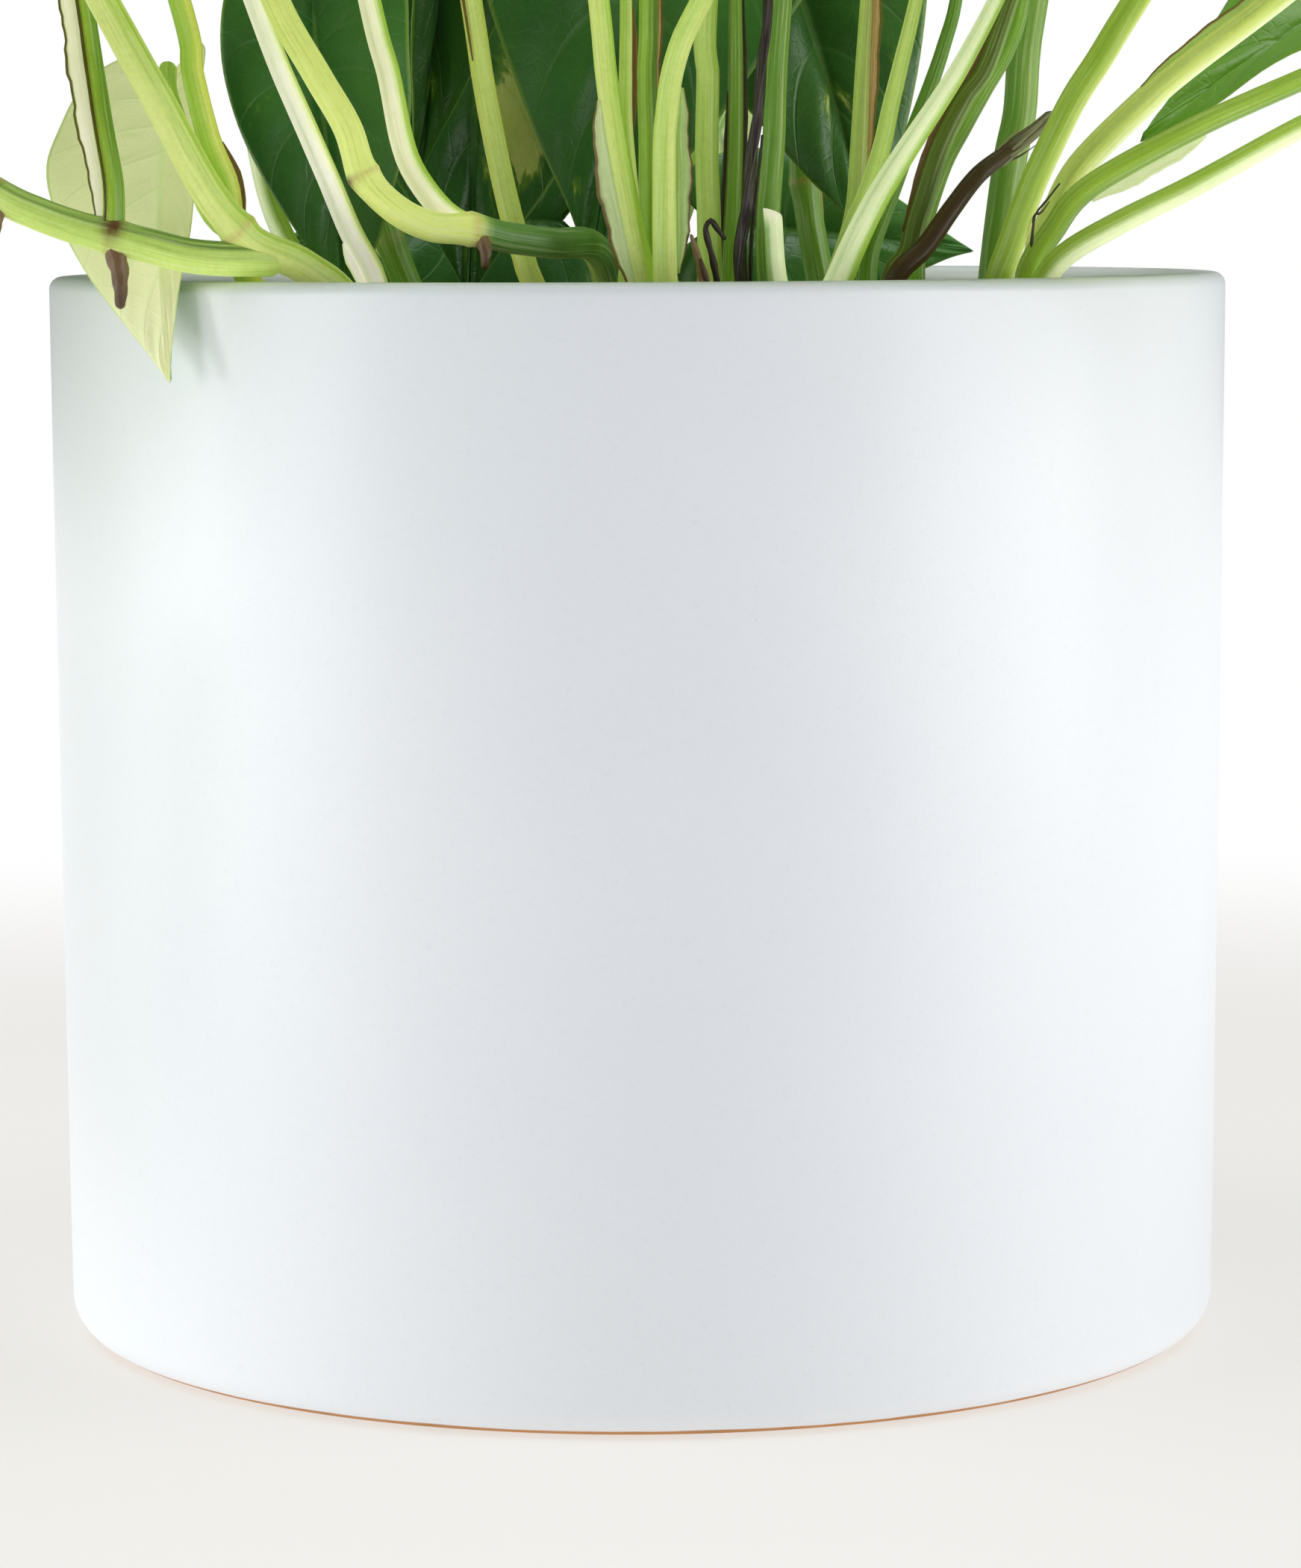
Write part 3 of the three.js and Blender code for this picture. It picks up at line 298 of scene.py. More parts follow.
      {"points": [[28, 8, 164], [27, 24, 180], [27, 38, 200]]},
    ],
  },
]

halfOutline = np.array([
    [0, 0], [-0.05, 0.06], [-0.12, 0.16], [-0.1, 0.28], [0.03, 0.365], [0.2, 0.39],
    [0.4, 0.35], [0.6, 0.255], [0.78, 0.145], [0.9, 0.06], [1, 0],
], float)

drawState = [growth["firstDraw"]]


def draw(low, high):  # the next seeded number: state * 16807 modulo 2^31 - 1, spread from low to high
    drawState[0] = drawState[0] * 16807 % 2147483647
    return low + (high - low) * (drawState[0] / 2147483647)


# A smooth curve through points, on each span from a to b:
# a + t0 w + (3(b - a) - 2 t0 - t1) w^2 + (2(a - b) + t0 + t1) w^3,
# where t0 and t1 are half the chords between the neighbours
def alongCurve(points, shares):
    points = np.asarray(points, float)
    last = len(points) - 1
    padded = np.vstack([2 * points[0] - points[1], points, 2 * points[-1] - points[-2]])
    place = np.asarray(shares, float) * last
    span = np.minimum(place.astype(int), last - 1)
    w = (place - span)[:, None]
    before, a, b, after = (padded[span + k] for k in range(4))
    t0 = (b - before) / 2
    t1 = (after - a) / 2
    return a + t0 * w + (-3 * a + 3 * b - 2 * t0 - t1) * w ** 2 + (2 * a - 2 * b + t0 + t1) * w ** 3


def curveLength(points):
    return np.linalg.norm(np.diff(alongCurve(points, np.arange(201) / 200), axis=0), axis=1).sum()


# Blade one unit long, x along the midrib and z out of the upper side. With share = |across|:
# x = rib + (edgeX - rib) share, y = side edgeY share width,
# z = camber edgeY 4 share (1 - share) + wave share^2 sin(waves along + phase) sin(pi along),
# halves folded up by the fold angle, then bent down round an arc of the given bend
def bladePoints(leaf, along, across, lift):
    edge = alongCurve(halfOutline, along.ravel()).reshape(*along.shape, 2)
    rib = along ** growth["midribPower"]
    share = np.abs(across)
    side = np.sign(across)
    flatX = rib + (edge[..., 0] - rib) * share
    halves = np.where(side > 0, leaf["halves"][1], leaf["halves"][0])
    halfWidth = edge[..., 1] * share * leaf["width"] * halves
    swell = leaf["camber"] * edge[..., 1] * 4 * share * (1 - share)
    phase = leaf["phase"] + np.where(side > 0, 0, growth["sidePhase"])
    ripple = np.sin(fullTurn * growth["waveCount"] * along + phase) * np.sin(math.pi * along)
    cosFold = np.cos(leaf["fold"])
    sinFold = np.sin(leaf["fold"])
    raised = swell + leaf["wave"] * share * share * ripple + lift * np.where(side == 0, 1, cosFold)
    ahead = np.maximum(0, flatX)
    y = side * (halfWidth * cosFold - raised * sinFold * np.abs(side)) + leaf["sweep"] * ahead ** 2
    z = halfWidth * sinFold + raised
    turn = leaf["bend"] * ahead
    arcX = np.where(flatX > 0, np.sin(turn) / leaf["bend"], flatX)
    arcZ = np.where(flatX > 0, -(1 - np.cos(turn)) / leaf["bend"], 0)
    return np.stack([arcX + z * np.sin(turn), y, arcZ + z * np.cos(turn)], -1)


def unit(vector):
    return vector / np.linalg.norm(vector, axis=-1, keepdims=True)


# Frame of a blade: x is the heading, z the facing made square to it and rolled about it, y = z cross x
def bladeAxes(heading, facing, roll):
    x = unit(heading)
    z = unit(facing - (facing * x).sum(-1, keepdims=True) * x)
    z = z * np.cos(roll)[..., None] + np.cross(x, z) * np.sin(roll)[..., None]
    return x, np.cross(z, x), z


def placeBlade(leaf, local):
    x, y, z = leaf["axes"]
    turned = local[..., 0:1] * x + local[..., 1:2] * y + local[..., 2:3] * z
    return leaf["base"] + turned * leaf["length"]


sampleAlong, sampleAcross = np.meshgrid(np.arange(13) / 12, np.arange(-4, 5) / 4, indexing="ij")


def bladeSamples(leaf):
    return placeBlade(leaf, bladePoints(leaf, sampleAlong, sampleAcross, 0)).reshape(-1, 3)


def barSamples(points, skip):
    count = max(6, math.floor(curveLength(points) / 5 + 0.5))
    return alongCurve(points, np.arange(skip, count + 1) / count)


def boxMiddle(points):
    return (points.min(0) + points.max(0)) / 2


def treeOf(clouds):
    points = np.vstack(clouds) if clouds else np.full((1, 3), 1e6)
    tree = KDTree(len(points))
    for i, point in enumerate(points.tolist()):
        tree.insert(point, i)
    tree.balance()
    return tree


def anyCloser(points, tree, limit):
    return any(tree.find(point)[2] < limit for point in points.tolist())


formNames = ["roll", "width", "fold", "camber", "wave", "phase", "sweep", "bend"]
formRanges = [
    (-0.3, 0.3), (0.95, 1.12), (0.12, 0.42), (0.05, 0.16), (0.015, 0.04), (0, 6.2), (-0.08, 0.08), (0.35, 1),
]

placedBlades = []
placedBars = []
blades = []


def drawForm():
    return {name: draw(*formRange) for name, formRange in zip(formNames, formRanges)}


def stalkEnd(leaf, before):
    up = leaf["axes"][2]
    course = unit(leaf["base"] - before)
    lean = math.sqrt(max(0, 1 - float(course @ up) ** 2))
    below = growth["bladeThickness"] / 2 + growth["stalkGap"] + growth["stalkRadii"][1] * lean
    return leaf["base"] - up * below


def keepLeaf(leaf, points, freeFrom):
    placedBlades.append(bladeSamples(leaf))
    placedBars.append(barSamples(points[freeFrom:], 0))
    blades.append(leaf)


# The space a free blade keeps out of: what the camera sees between the stems, the pot and the ground.
# Widths grow with the distance from the camera, (away + y) / away.
keptClear = {
    "away": 809, "top": 205.5, "topSlope": 0.0373, "halfWidth": 103, "left": -58, "right": 29, "behind": -8,
    "ground": 12, "rim": 169.2, "potReach": 97,
}


def outOfBounds(points):
    x, y, z = points[..., 0], points[..., 1], points[..., 2]
    depth = (keptClear["away"] + y) / keptClear["away"]
    above = z > keptClear["top"] + keptClear["topSlope"] * y
    outside = above | (np.abs(x) > keptClear["halfWidth"] * depth)
    behind = (x > keptClear["left"] * depth) & (x < keptClear["right"] * depth) & (y > keptClear["behind"])
    inPot = (z < keptClear["rim"]) & (np.hypot(x, y) < keptClear["potReach"])
    return ((~outside & ~behind) | (z < keptClear["ground"]) | inPot).any(-1)


# All tries for a stalk's free end at once, in the order of the draws
def drawTries(route, spread, share):
    last = route[-1]
    course = unit(last - route[-2])
    ahead = last + course * growth["lookAhead"]
    outward = math.atan2(ahead[1], ahead[0])
    rows = []
    for _ in range(growth["tries"]):
        lean = outward + draw(-growth["leanSpread"], growth["leanSpread"])
        climb = draw(*spread["climb"])
        reach = share * draw(*spread["reach"])
        turn = draw(-growth["headingSpread"], growth["headingSpread"])
        drop = draw(*spread["drop"])
        length = share * draw(*spread["length"])
        rows.append([lean, climb, reach, turn, drop, length, *drawForm().values()])
    lean, climb, reach, turn, drop, length, *form = np.array(rows).T
    aim = np.stack([np.cos(lean) * np.cos(climb), np.sin(lean) * np.cos(climb), np.sin(climb)], -1)
    middle = last + course * (reach * growth["straightShare"])[:, None]
    middle = middle + aim * (reach * growth["turnShare"])[:, None]
    base = last + unit(aim + course) * reach[:, None]
    turn = np.arctan2(base[:, 1], base[:, 0]) + turn
    heading = np.stack([np.cos(turn) * np.cos(drop), np.sin(turn) * np.cos(drop), -np.sin(drop)], -1)
    axes = bladeAxes(heading, np.array([0, 0, 1.0]), form[0])
    leaves = {name: value[:, None, None] for name, value in zip(formNames, form)}
    leaves["halves"] = [1, 1]
    local = bladePoints(leaves, sampleAlong[None].repeat(len(rows), 0), sampleAcross[None], 0)
    leaves["axes"] = [axis[:, None, None] for axis in axes]
    leaves["base"] = base[:, None, None]
    leaves["length"] = length[:, None, None, None]
    spots = placeBlade(leaves, local)
    approach = (unit(base - middle) * axes[2]).sum(-1)
    tries = []
    for i in range(len(rows)):
        leaf = {name: form[k][i] for k, name in enumerate(formNames)}
        leaf.update(halves=[1, 1], base=base[i], length=length[i], axes=tuple(axis[i] for axis in axes))
        tries.append((leaf, approach[i], middle[i], spots[i].reshape(-1, 3)))
    return tries


def growLeaf(route, spread, ways):
    bladeTree = treeOf(placedBlades)
    barTree = treeOf(placedBars)
    wayTree = treeOf(ways)
    middles = np.array([boxMiddle(points) for points in placedBlades])
    best, bestRoom, bestPoints = None, -1, None
    for share in growth["sizeShares"]:
        if best is not None:
            break
        for leaf, approach, middle, spots in drawTries(route, spread, share):
            if approach < growth["steepestApproach"] or outOfBounds(spots):
                continue
            centre = boxMiddle(spots)
            apart = min(growth["enoughRoom"], np.linalg.norm(middles - centre, axis=1).min())
            raised = (centre[2] - growth["crownLevel"]) * growth["crownFlatness"]
            away = math.hypot(centre[0], centre[1], raised)
            room = growth["startRoom"] + apart - growth["crownPull"] * away
            if room <= bestRoom:
                continue
            whole = np.vstack([route, middle, stalkEnd(leaf, middle)])
            bar = barSamples(whole[len(route) - 1:], 2)
            lowBar = bar[None, :-3]
            ownGap = np.linalg.norm(spots[:, None] - lowBar, axis=-1).min() if lowBar.size else math.inf
            if ownGap < growth["bladeToBar"]:
                continue
            tests = [
                (spots, wayTree, "bladeToBar"), (spots, bladeTree, "bladeToBlade"),
                (bar, bladeTree, "bladeToBar"), (spots, barTree, "bladeToBar"), (bar, barTree, "barToBar"),
            ]
            if any(anyCloser(points, tree, growth[limit]) for points, tree, limit in tests):
                continue
            best, bestRoom, bestPoints = leaf, room, whole
    if best is None:
        return None
    keepLeaf(best, bestPoints, len(route) - 1)
    return bestPoints


# A blade that hangs between two given points: the chord and the bend give its length and heading
def hangLeaf(route, place):
    leaf = drawForm()
    leaf["halves"] = [1, 1]
    leaf.update(place["form"])
    base, tip, facing = (np.array(place[key], float) for key in ("base", "tip", "facing"))
    chord = tip - base
    bend = leaf["bend"]
    leaf["length"] = np.linalg.norm(chord) * bend / 2 / math.sin(bend / 2)
    side = unit(np.cross(facing, chord))
    straight = unit(chord)
    heading = straight * math.cos(-bend / 2) + np.cross(side, straight) * math.sin(-bend / 2)
    leaf["base"] = base
    leaf["axes"] = bladeAxes(heading, facing, np.array(leaf["roll"]))
    points = np.vstack([route, stalkEnd(leaf, route[-1])])
    keepLeaf(leaf, points, len(route) - 1)
    return points


def stemsOf(vine):
    return [vine, vine["branch"]] if "branch" in vine else [vine]


# The whole plant: the stems with what is given, then a blade for each free stalk, then the low blades
def growPlant():
    stems = [stem for vine in vines for stem in stemsOf(vine)]
    for stem in stems:
        placedBars.append(barSamples(np.array(stem["stem"], float), 0))
        stemPoints = alongCurve(stem["stem"], np.arange(241) / 240)
        for stalk in stem["stalks"]:
            route = np.array(stalk["points"], float)
            route[0] = stemPoints[np.linalg.norm(stemPoints - route[0], axis=1).argmin()]
            stalk["route"] = route
            if "last" in stalk:
                continue
            placedBars.append(barSamples(route, 0))
            if "hang" in stalk:
                stalk["full"] = hangLeaf(route, stalk["hang"])
                stalk["leaf"] = len(blades) - 1
            elif "bare" in stalk:
                stalk["full"] = route
    backFirst = [stalk for stem in reversed(stems) for stalk in stem["stalks"]]
    growing = [stalk for stalk in backFirst if "full" not in stalk and "last" not in stalk]
    ways = []
    for stalk in growing:
        last = stalk["route"][-1]
        onward = last + unit(last - stalk["route"][-2]) * growth["wayLength"]
        ways.append(barSamples(np.array([last, onward]), 1))
    for i, stalk in enumerate(growing):
        full = growLeaf(stalk["route"], stalk.get("spread", usualSpread), ways[i + 1:])
        if full is None:
            last = stalk["route"][-1]
            tip = last + unit(last - stalk["route"][-2]) * growth["spearLength"]
            full = np.vstack([stalk["route"], tip])
            placedBars.append(barSamples(full[-3:], 0))
            stalk["radii"] = growth["spearRadii"]
        else:
            stalk["leaf"] = len(blades) - 1
        stalk["full"] = full
    for stalk in [stalk for stem in stems for stalk in stem["stalks"] if "last" in stalk]:
        stalk["full"] = hangLeaf(stalk["route"], stalk["hang"])
        stalk["leaf"] = len(blades) - 1
    return stems


stems = growPlant()
print("plant grown:", len(blades), "blades")


# Each blade's box, on the solid's own grid of points, has to be the box of its solid in the frame
def compareBlades(allowed):
    along, across = np.meshgrid(np.arange(8) / 7, np.linspace(-1, 1, 5), indexing="ij")
    for number, leaf in enumerate(blades):
        half = growth["bladeThickness"] / 2 / leaf["length"]
        faces = [placeBlade(leaf, bladePoints(leaf, along, across, lift)) for lift in (half, -half)]
        spots = np.concatenate(faces).reshape(-1, 3)
        low, high = (np.array(corner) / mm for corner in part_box(f"leaf_{number + 1:02d}"))
        off = max(np.abs(spots.min(0) - low).max(), np.abs(spots.max(0) - high).max())
        if off > allowed:
            print("leaf", number + 1, "is off by", round(float(off), 3), "mm")


compareBlades(0.05)

rng = np.random.default_rng(7)


# Several closed tubes in one mesh. Each tube is a dictionary: rings (rows, columns, 3) in millimetres,
# ends (2, 3), map (rows, columns, 2), tint (rows, columns, 3) and faceKinds (columns) for the materials.
# Each ring is joined to the next one by four-sided faces, and both ends close on one point.
def buildPiece(name, tubes, materials, node):
    spots, quads, caps, maps, tints, kinds, capKinds = [], [], [], [], [], [], []
    first = 0
    for tube in tubes:
        rings = tube["rings"]
        rows, columns = rings.shape[:2]
        index = first + np.arange(rows * columns).reshape(rows, columns)
        following = np.roll(index, -1, 1)
        faces = np.stack([index[:-1], following[:-1], following[1:], index[1:]], -1).reshape(-1, 4)
        start = first + rows * columns
        startFan = np.stack([np.full(columns, start), following[0], index[0]], -1)
        endFan = np.stack([np.full(columns, start + 1), index[-1], following[-1]], -1)
        centre = rings.mean((0, 1))
        corners = rings.reshape(-1, 3)[faces - first] - centre
        volume = np.einsum("ij,ij->", np.cross(corners[:, 0], corners[:, 1]), corners[:, 2])
        volume += np.einsum("ij,ij->", np.cross(corners[:, 0], corners[:, 2]), corners[:, 3])
        if volume < 0:
            faces, startFan, endFan = faces[:, ::-1], startFan[:, ::-1], endFan[:, ::-1]
        spots += [rings.reshape(-1, 3), tube["ends"]]
        quads.append(faces)
        caps += [startFan, endFan]
        maps += [tube["map"].reshape(-1, 2), tube["map"][[0, -1]].mean(1)]
        tints += [tube["tint"].reshape(-1, 3), tube["tint"][[0, -1]].mean(1)]
        kind = np.asarray(tube.get("faceKinds", np.zeros(columns, int)))
        kinds.append(np.tile(kind, rows - 1))
        capKinds += [kind, kind]
        first = start + 2
    spots = np.concatenate(spots) * mm
    quads, caps = np.concatenate(quads), np.concatenate(caps)
    corners = np.concatenate([quads.ravel(), caps.ravel()])
    starts = np.concatenate([np.arange(len(quads)) * 4, len(quads) * 4 + np.arange(len(caps)) * 3])
    mesh = bpy.data.meshes.new(name)
    mesh.vertices.add(len(spots))
    mesh.vertices.foreach_set("co", spots.astype(np.float32).ravel())
    mesh.loops.add(len(corners))
    mesh.loops.foreach_set("vertex_index", corners.astype(np.int32))
    mesh.polygons.add(len(starts))
    mesh.polygons.foreach_set("loop_start", starts.astype(np.int32))
    mesh.polygons.foreach_set("material_index", np.concatenate(kinds + capKinds).astype(np.int32))
    mesh.polygons.foreach_set("use_smooth", np.full(len(starts), True))
    mesh.update(calc_edges=True)
    layer = mesh.uv_layers.new(name="surfaceMap")
    layer.data.foreach_set("uv", np.concatenate(maps)[corners].astype(np.float32).ravel())
    tint = np.column_stack([np.concatenate(tints), np.ones(len(spots))])
    attribute = mesh.color_attributes.new("tint", "FLOAT_COLOR", "POINT")
    attribute.data.foreach_set("color", tint.astype(np.float32).ravel())
    mesh.validate()
    piece = bpy.data.objects.new(name, mesh)
    bpy.context.scene.collection.objects.link(piece)
    for material in materials:
        mesh.materials.append(material)
    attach(piece, "root")
    if node:
        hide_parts(node)
    return piece


fineShares = np.arange(401) / 400


def runOf(points):  # the length run so far at each of the fine shares of a curve
    steps = np.diff(alongCurve(points, fineShares), axis=0)
    return np.concatenate([[0], np.cumsum(np.linalg.norm(steps, axis=1))])


# Stations along a curve at even lengths, with a side and an up that turn as little as the curve allows
def stationsOf(points, spacing, upHint=(0, -1, 0)):
    run = runOf(points)
    count = max(4, round(run[-1] / spacing))
    lengths = np.linspace(0, run[-1], count + 1)
    places = alongCurve(points, np.interp(lengths, run, fineShares))
    course = unit(np.gradient(places, axis=0))
    up = np.zeros_like(places)
    carried = np.array(upHint, float)
    for i, direction in enumerate(course):
        carried = unit(carried - (carried @ direction) * direction)
        up[i] = carried
    return places, np.cross(course, up), up, lengths


# A tube along a path: point = station + radius(length, turn) (cos turn side + sin turn up),
# rounded off over the last radius at each end, sqrt(1 - (1 - d / r)^2), unless its tip is a flat cut
def tubeAlong(points, radiusAt, tintAt, sides, spacing, roundTip=True):
    places, side, up, lengths = stationsOf(points, spacing)
    turn = np.arange(sides) / sides * fullTurn
    whole = lengths[-1]
    if roundTip:
        extra = radiusAt(np.array([whole]), turn)[0].mean() * np.array([0.35, 0.7, 0.92])
        even = lengths
        lengths = np.sort(np.concatenate([even, whole - extra]))
        grids = ([np.interp(lengths, even, grid[:, k]) for k in range(3)] for grid in (places, side, up))
        places, side, up = (np.stack(grid, -1) for grid in grids)
    radius = radiusAt(lengths, turn)
    meanRadius = radius.mean(1)
    shrink = np.ones(len(lengths))
    for fromEnd in [lengths, whole - lengths] if roundTip else [lengths]:
        shrink *= np.sqrt(np.clip(1 - np.clip(1 - fromEnd / meanRadius, 0, 1) ** 2, 0.02, 1))
    radius = radius * shrink[:, None]
    outward = np.cos(turn)[None, :, None] * side[:, None] + np.sin(turn)[None, :, None] * up[:, None]
    rings = places[:, None] + radius[..., None] * outward
    surfaceMap = np.stack(np.broadcast_arrays((turn / fullTurn)[None], lengths[:, None]), -1)
    return {"rings": rings, "ends": places[[0, -1]], "map": surfaceMap, "tint": tintAt(lengths, turn)}


# Node helpers for materials. A socket gets a plain value, or a link from another socket.
def feed(tree, socket, value):
    if isinstance(value, bpy.types.NodeSocket):
        tree.links.new(value, socket)
    else:
        socket.default_value = value


def addNode(tree, kind, values=(), **settings):
    made = tree.nodes.new(kind)
    for key, value in settings.items():
        setattr(made, key, value)
    for name, value in dict(values).items():
        feed(tree, made.inputs[name], value)
    return made


def makeMaterial(name):
    material = bpy.data.materials.new(name)
    material.use_nodes = True
    tree = material.node_tree
    return material, tree, tree.nodes["Principled BSDF"]


def dress(tree, skin, values):
    for name, value in values.items():
        feed(tree, skin.inputs[name], value)


def math2(tree, operation, first, second=0.0, third=0.0):
    values = {0: first, 1: second, 2: third}
    return addNode(tree, "ShaderNodeMath", values, operation=operation).outputs[0]


def times(tree, first, second):
    return math2(tree, "MULTIPLY", first, second)


def plus(tree, first, second):
    return math2(tree, "ADD", first, second)


def blendColours(tree, share, first, second, mode="MIX"):
    values = {0: share, 6: first, 7: second}
    return addNode(tree, "ShaderNodeMix", values, data_type="RGBA", blend_type=mode).outputs[2]


def ramp(tree, value, low, high, toLow=0.0, toHigh=1.0):
    values = {0: value, 1: low, 2: high, 3: toLow, 4: toHigh}
    return addNode(tree, "ShaderNodeMapRange", values, interpolation_type="SMOOTHSTEP").outputs[0]


def objectPlace(tree):
    return addNode(tree, "ShaderNodeTexCoord").outputs["Object"]


def storedTint(tree):
    return addNode(tree, "ShaderNodeVertexColor", layer_name="tint").outputs["Color"]


def colourParts(tree, colour):
    return addNode(tree, "ShaderNodeSeparateColor", {0: colour}).outputs


def mapParts(tree):
    surfaceMap = addNode(tree, "ShaderNodeUVMap", uv_map="surfaceMap").outputs[0]
    return addNode(tree, "ShaderNodeSeparateXYZ", {0: surfaceMap}).outputs


def joined(tree, x, y, z):
    return addNode(tree, "ShaderNodeCombineXYZ", {0: x, 1: y, 2: z}).outputs[0]


def noise(tree, place, scale, detail, roughness=0.5):
    values = {"Vector": place, "Scale": scale, "Detail": detail, "Roughness": roughness}
    return addNode(tree, "ShaderNodeTexNoise", values).outputs[0]


def addRelief(tree, skin, height, strength, distance):
    bump = addNode(tree, "ShaderNodeBump", {"Strength": strength, "Distance": distance, "Height": height})
    tree.links.new(bump.outputs[0], skin.inputs["Normal"])


def makeGroup(name, inputs, outputs):
    group = bpy.data.node_groups.new(name, "ShaderNodeTree")
    for label, start in inputs.items():
        socket = group.interface.new_socket(label, in_out="INPUT", socket_type="NodeSocketFloat")
        socket.default_value = start
    for label in outputs:
        group.interface.new_socket(label, in_out="OUTPUT", socket_type="NodeSocketFloat")
    return group, group.nodes.new("NodeGroupInput").outputs, group.nodes.new("NodeGroupOutput").inputs


# Shared effect: fine uneven grain from 0 to 1, 0.6 of it at the given size and 0.4 of it three times as wide
def makeGrain():
    group, given, result = makeGroup("fineGrain", {"Scale": 900.0, "Detail": 3.0}, ["Grain"])
    place = objectPlace(group)
    fine = noise(group, place, given["Scale"], given["Detail"])
    wide = noise(group, place, math2(group, "DIVIDE", given["Scale"], 3.0), 2.0)
    group.links.new(math2(group, "MULTIPLY_ADD", fine, 0.6, times(group, wide, 0.4)), result["Grain"])
    return group


# Shared effect: veins of a blade from its map, u from base to tip and v across. A side vein starts at the
# midrib and leans forward: its mark is along - 0.1 share^1.5, counted off evenly
def makeVeins():
    names = ["Side Veins", "Midrib", "Mark", "Share", "Net"]
    group, given, result = makeGroup("bladeVeins", {"Count": 9.0, "Width": 0.06}, names)
    along, across = mapParts(group)[:2]
    share = math2(group, "ABSOLUTE", math2(group, "MULTIPLY_ADD", across, 2.0, -1.0))
    mark = math2(group, "SUBTRACT", along, times(group, math2(group, "POWER", share, 1.5), 0.1))
    phase = math2(group, "FRACT", math2(group, "MULTIPLY_ADD", mark, given["Count"], 0.5))
    off = math2(group, "ABSOLUTE", math2(group, "SUBTRACT", phase, 0.5))
    slim = times(group, given["Width"], math2(group, "SUBTRACT", 1.25, share))
    cellValues = {"Vector": objectPlace(group), "Scale": 420.0}
    cells = addNode(group, "ShaderNodeTexVoronoi", cellValues, feature="DISTANCE_TO_EDGE")
    net = ramp(group, cells.outputs["Distance"], 0.0, 0.12, 1.0, 0.0)
    sides = ramp(group, off, 0.0, slim, 1.0, 0.0)
    midrib = ramp(group, share, 0.01, 0.055, 1.0, 0.0)
    for name, value in zip(names, (sides, midrib, mark, share, net)):
        group.links.new(value, result[name])
    return group


grainGroup = makeGrain()
veinGroup = makeVeins()


def groupNode(tree, group, **values):
    made = addNode(tree, "ShaderNodeGroup", node_tree=group)
    dress(tree, made, values)
    return made.outputs


def grainOf(tree, scale, detail):
    return groupNode(tree, grainGroup, Scale=scale, Detail=detail)["Grain"]


# Pot: a profile turned about the upright axis, point = (r cos turn, r sin turn, z)
potShape = {
    "radius": 90, "footRadius": 88.9, "height": 162.2, "wall": 6, "floor": 9, "lipRound": 1.9,
    "footRound": 5.5, "footRing": (12, 9.5), "underFoot": 0.9, "innerRound": 4, "middle": 3, "floorReach": 40,
    "segments": 256, "bareHeight": 0.75, "bareFade": 0.25,
    "glaze": shade(242, 245, 249), "glazeCloud": shade(238, 242, 247), "glazeGrain": shade(222, 226, 230),
    "speck": shade(120, 100, 85), "clay": shade(214, 150, 88), "darkClay": shade(176, 128, 84),
}


def arc(centreX, centreY, radius, fromTurn, toTurn, count):
    turn = np.radians(np.linspace(fromTurn, toTurn, count))
    return np.stack([centreX + radius * np.cos(turn), centreY + radius * np.sin(turn)], -1)


# From the underside over the foot, up the wall, round the lip, down the inside and over the floor
def potProfile(shape):
    lip, round, foot = shape["lipRound"], shape["footRound"], shape["footRadius"]
    inner, lipLevel, hollow = shape["radius"] - shape["wall"], shape["height"] - lip, shape["innerRound"]
    wallHeights = np.linspace(round + 1, shape["height"] - lip - 1.6, 40)
    share = (wallHeights - wallHeights[0]) / (wallHeights[-1] - wallHeights[0])
    wall = np.stack([foot + (shape["radius"] - foot) * share ** 0.8, wallHeights], -1)
    ringInside, ringOutside = shape["footRing"]
    return np.vstack([
        [[shape["middle"], shape["underFoot"]], [foot - ringInside, shape["underFoot"]]],
        [[foot - ringOutside, 0.0], [foot - round - 0.2, 0.0]],
        arc(foot - round, round, round, -88, 0, 12),
        wall,
        arc(shape["radius"] - lip, lipLevel, lip, 0, 90, 9),
        arc(inner + lip, lipLevel, lip, 95, 180, 9),
        [[inner, z] for z in np.linspace(shape["height"] - 8, shape["floor"] + 5, 12)],
        arc(inner - hollow, shape["floor"] + hollow, hollow, 0, -86, 6),
        [[shape["floorReach"], shape["floor"]], [shape["middle"], shape["floor"]]],
    ])


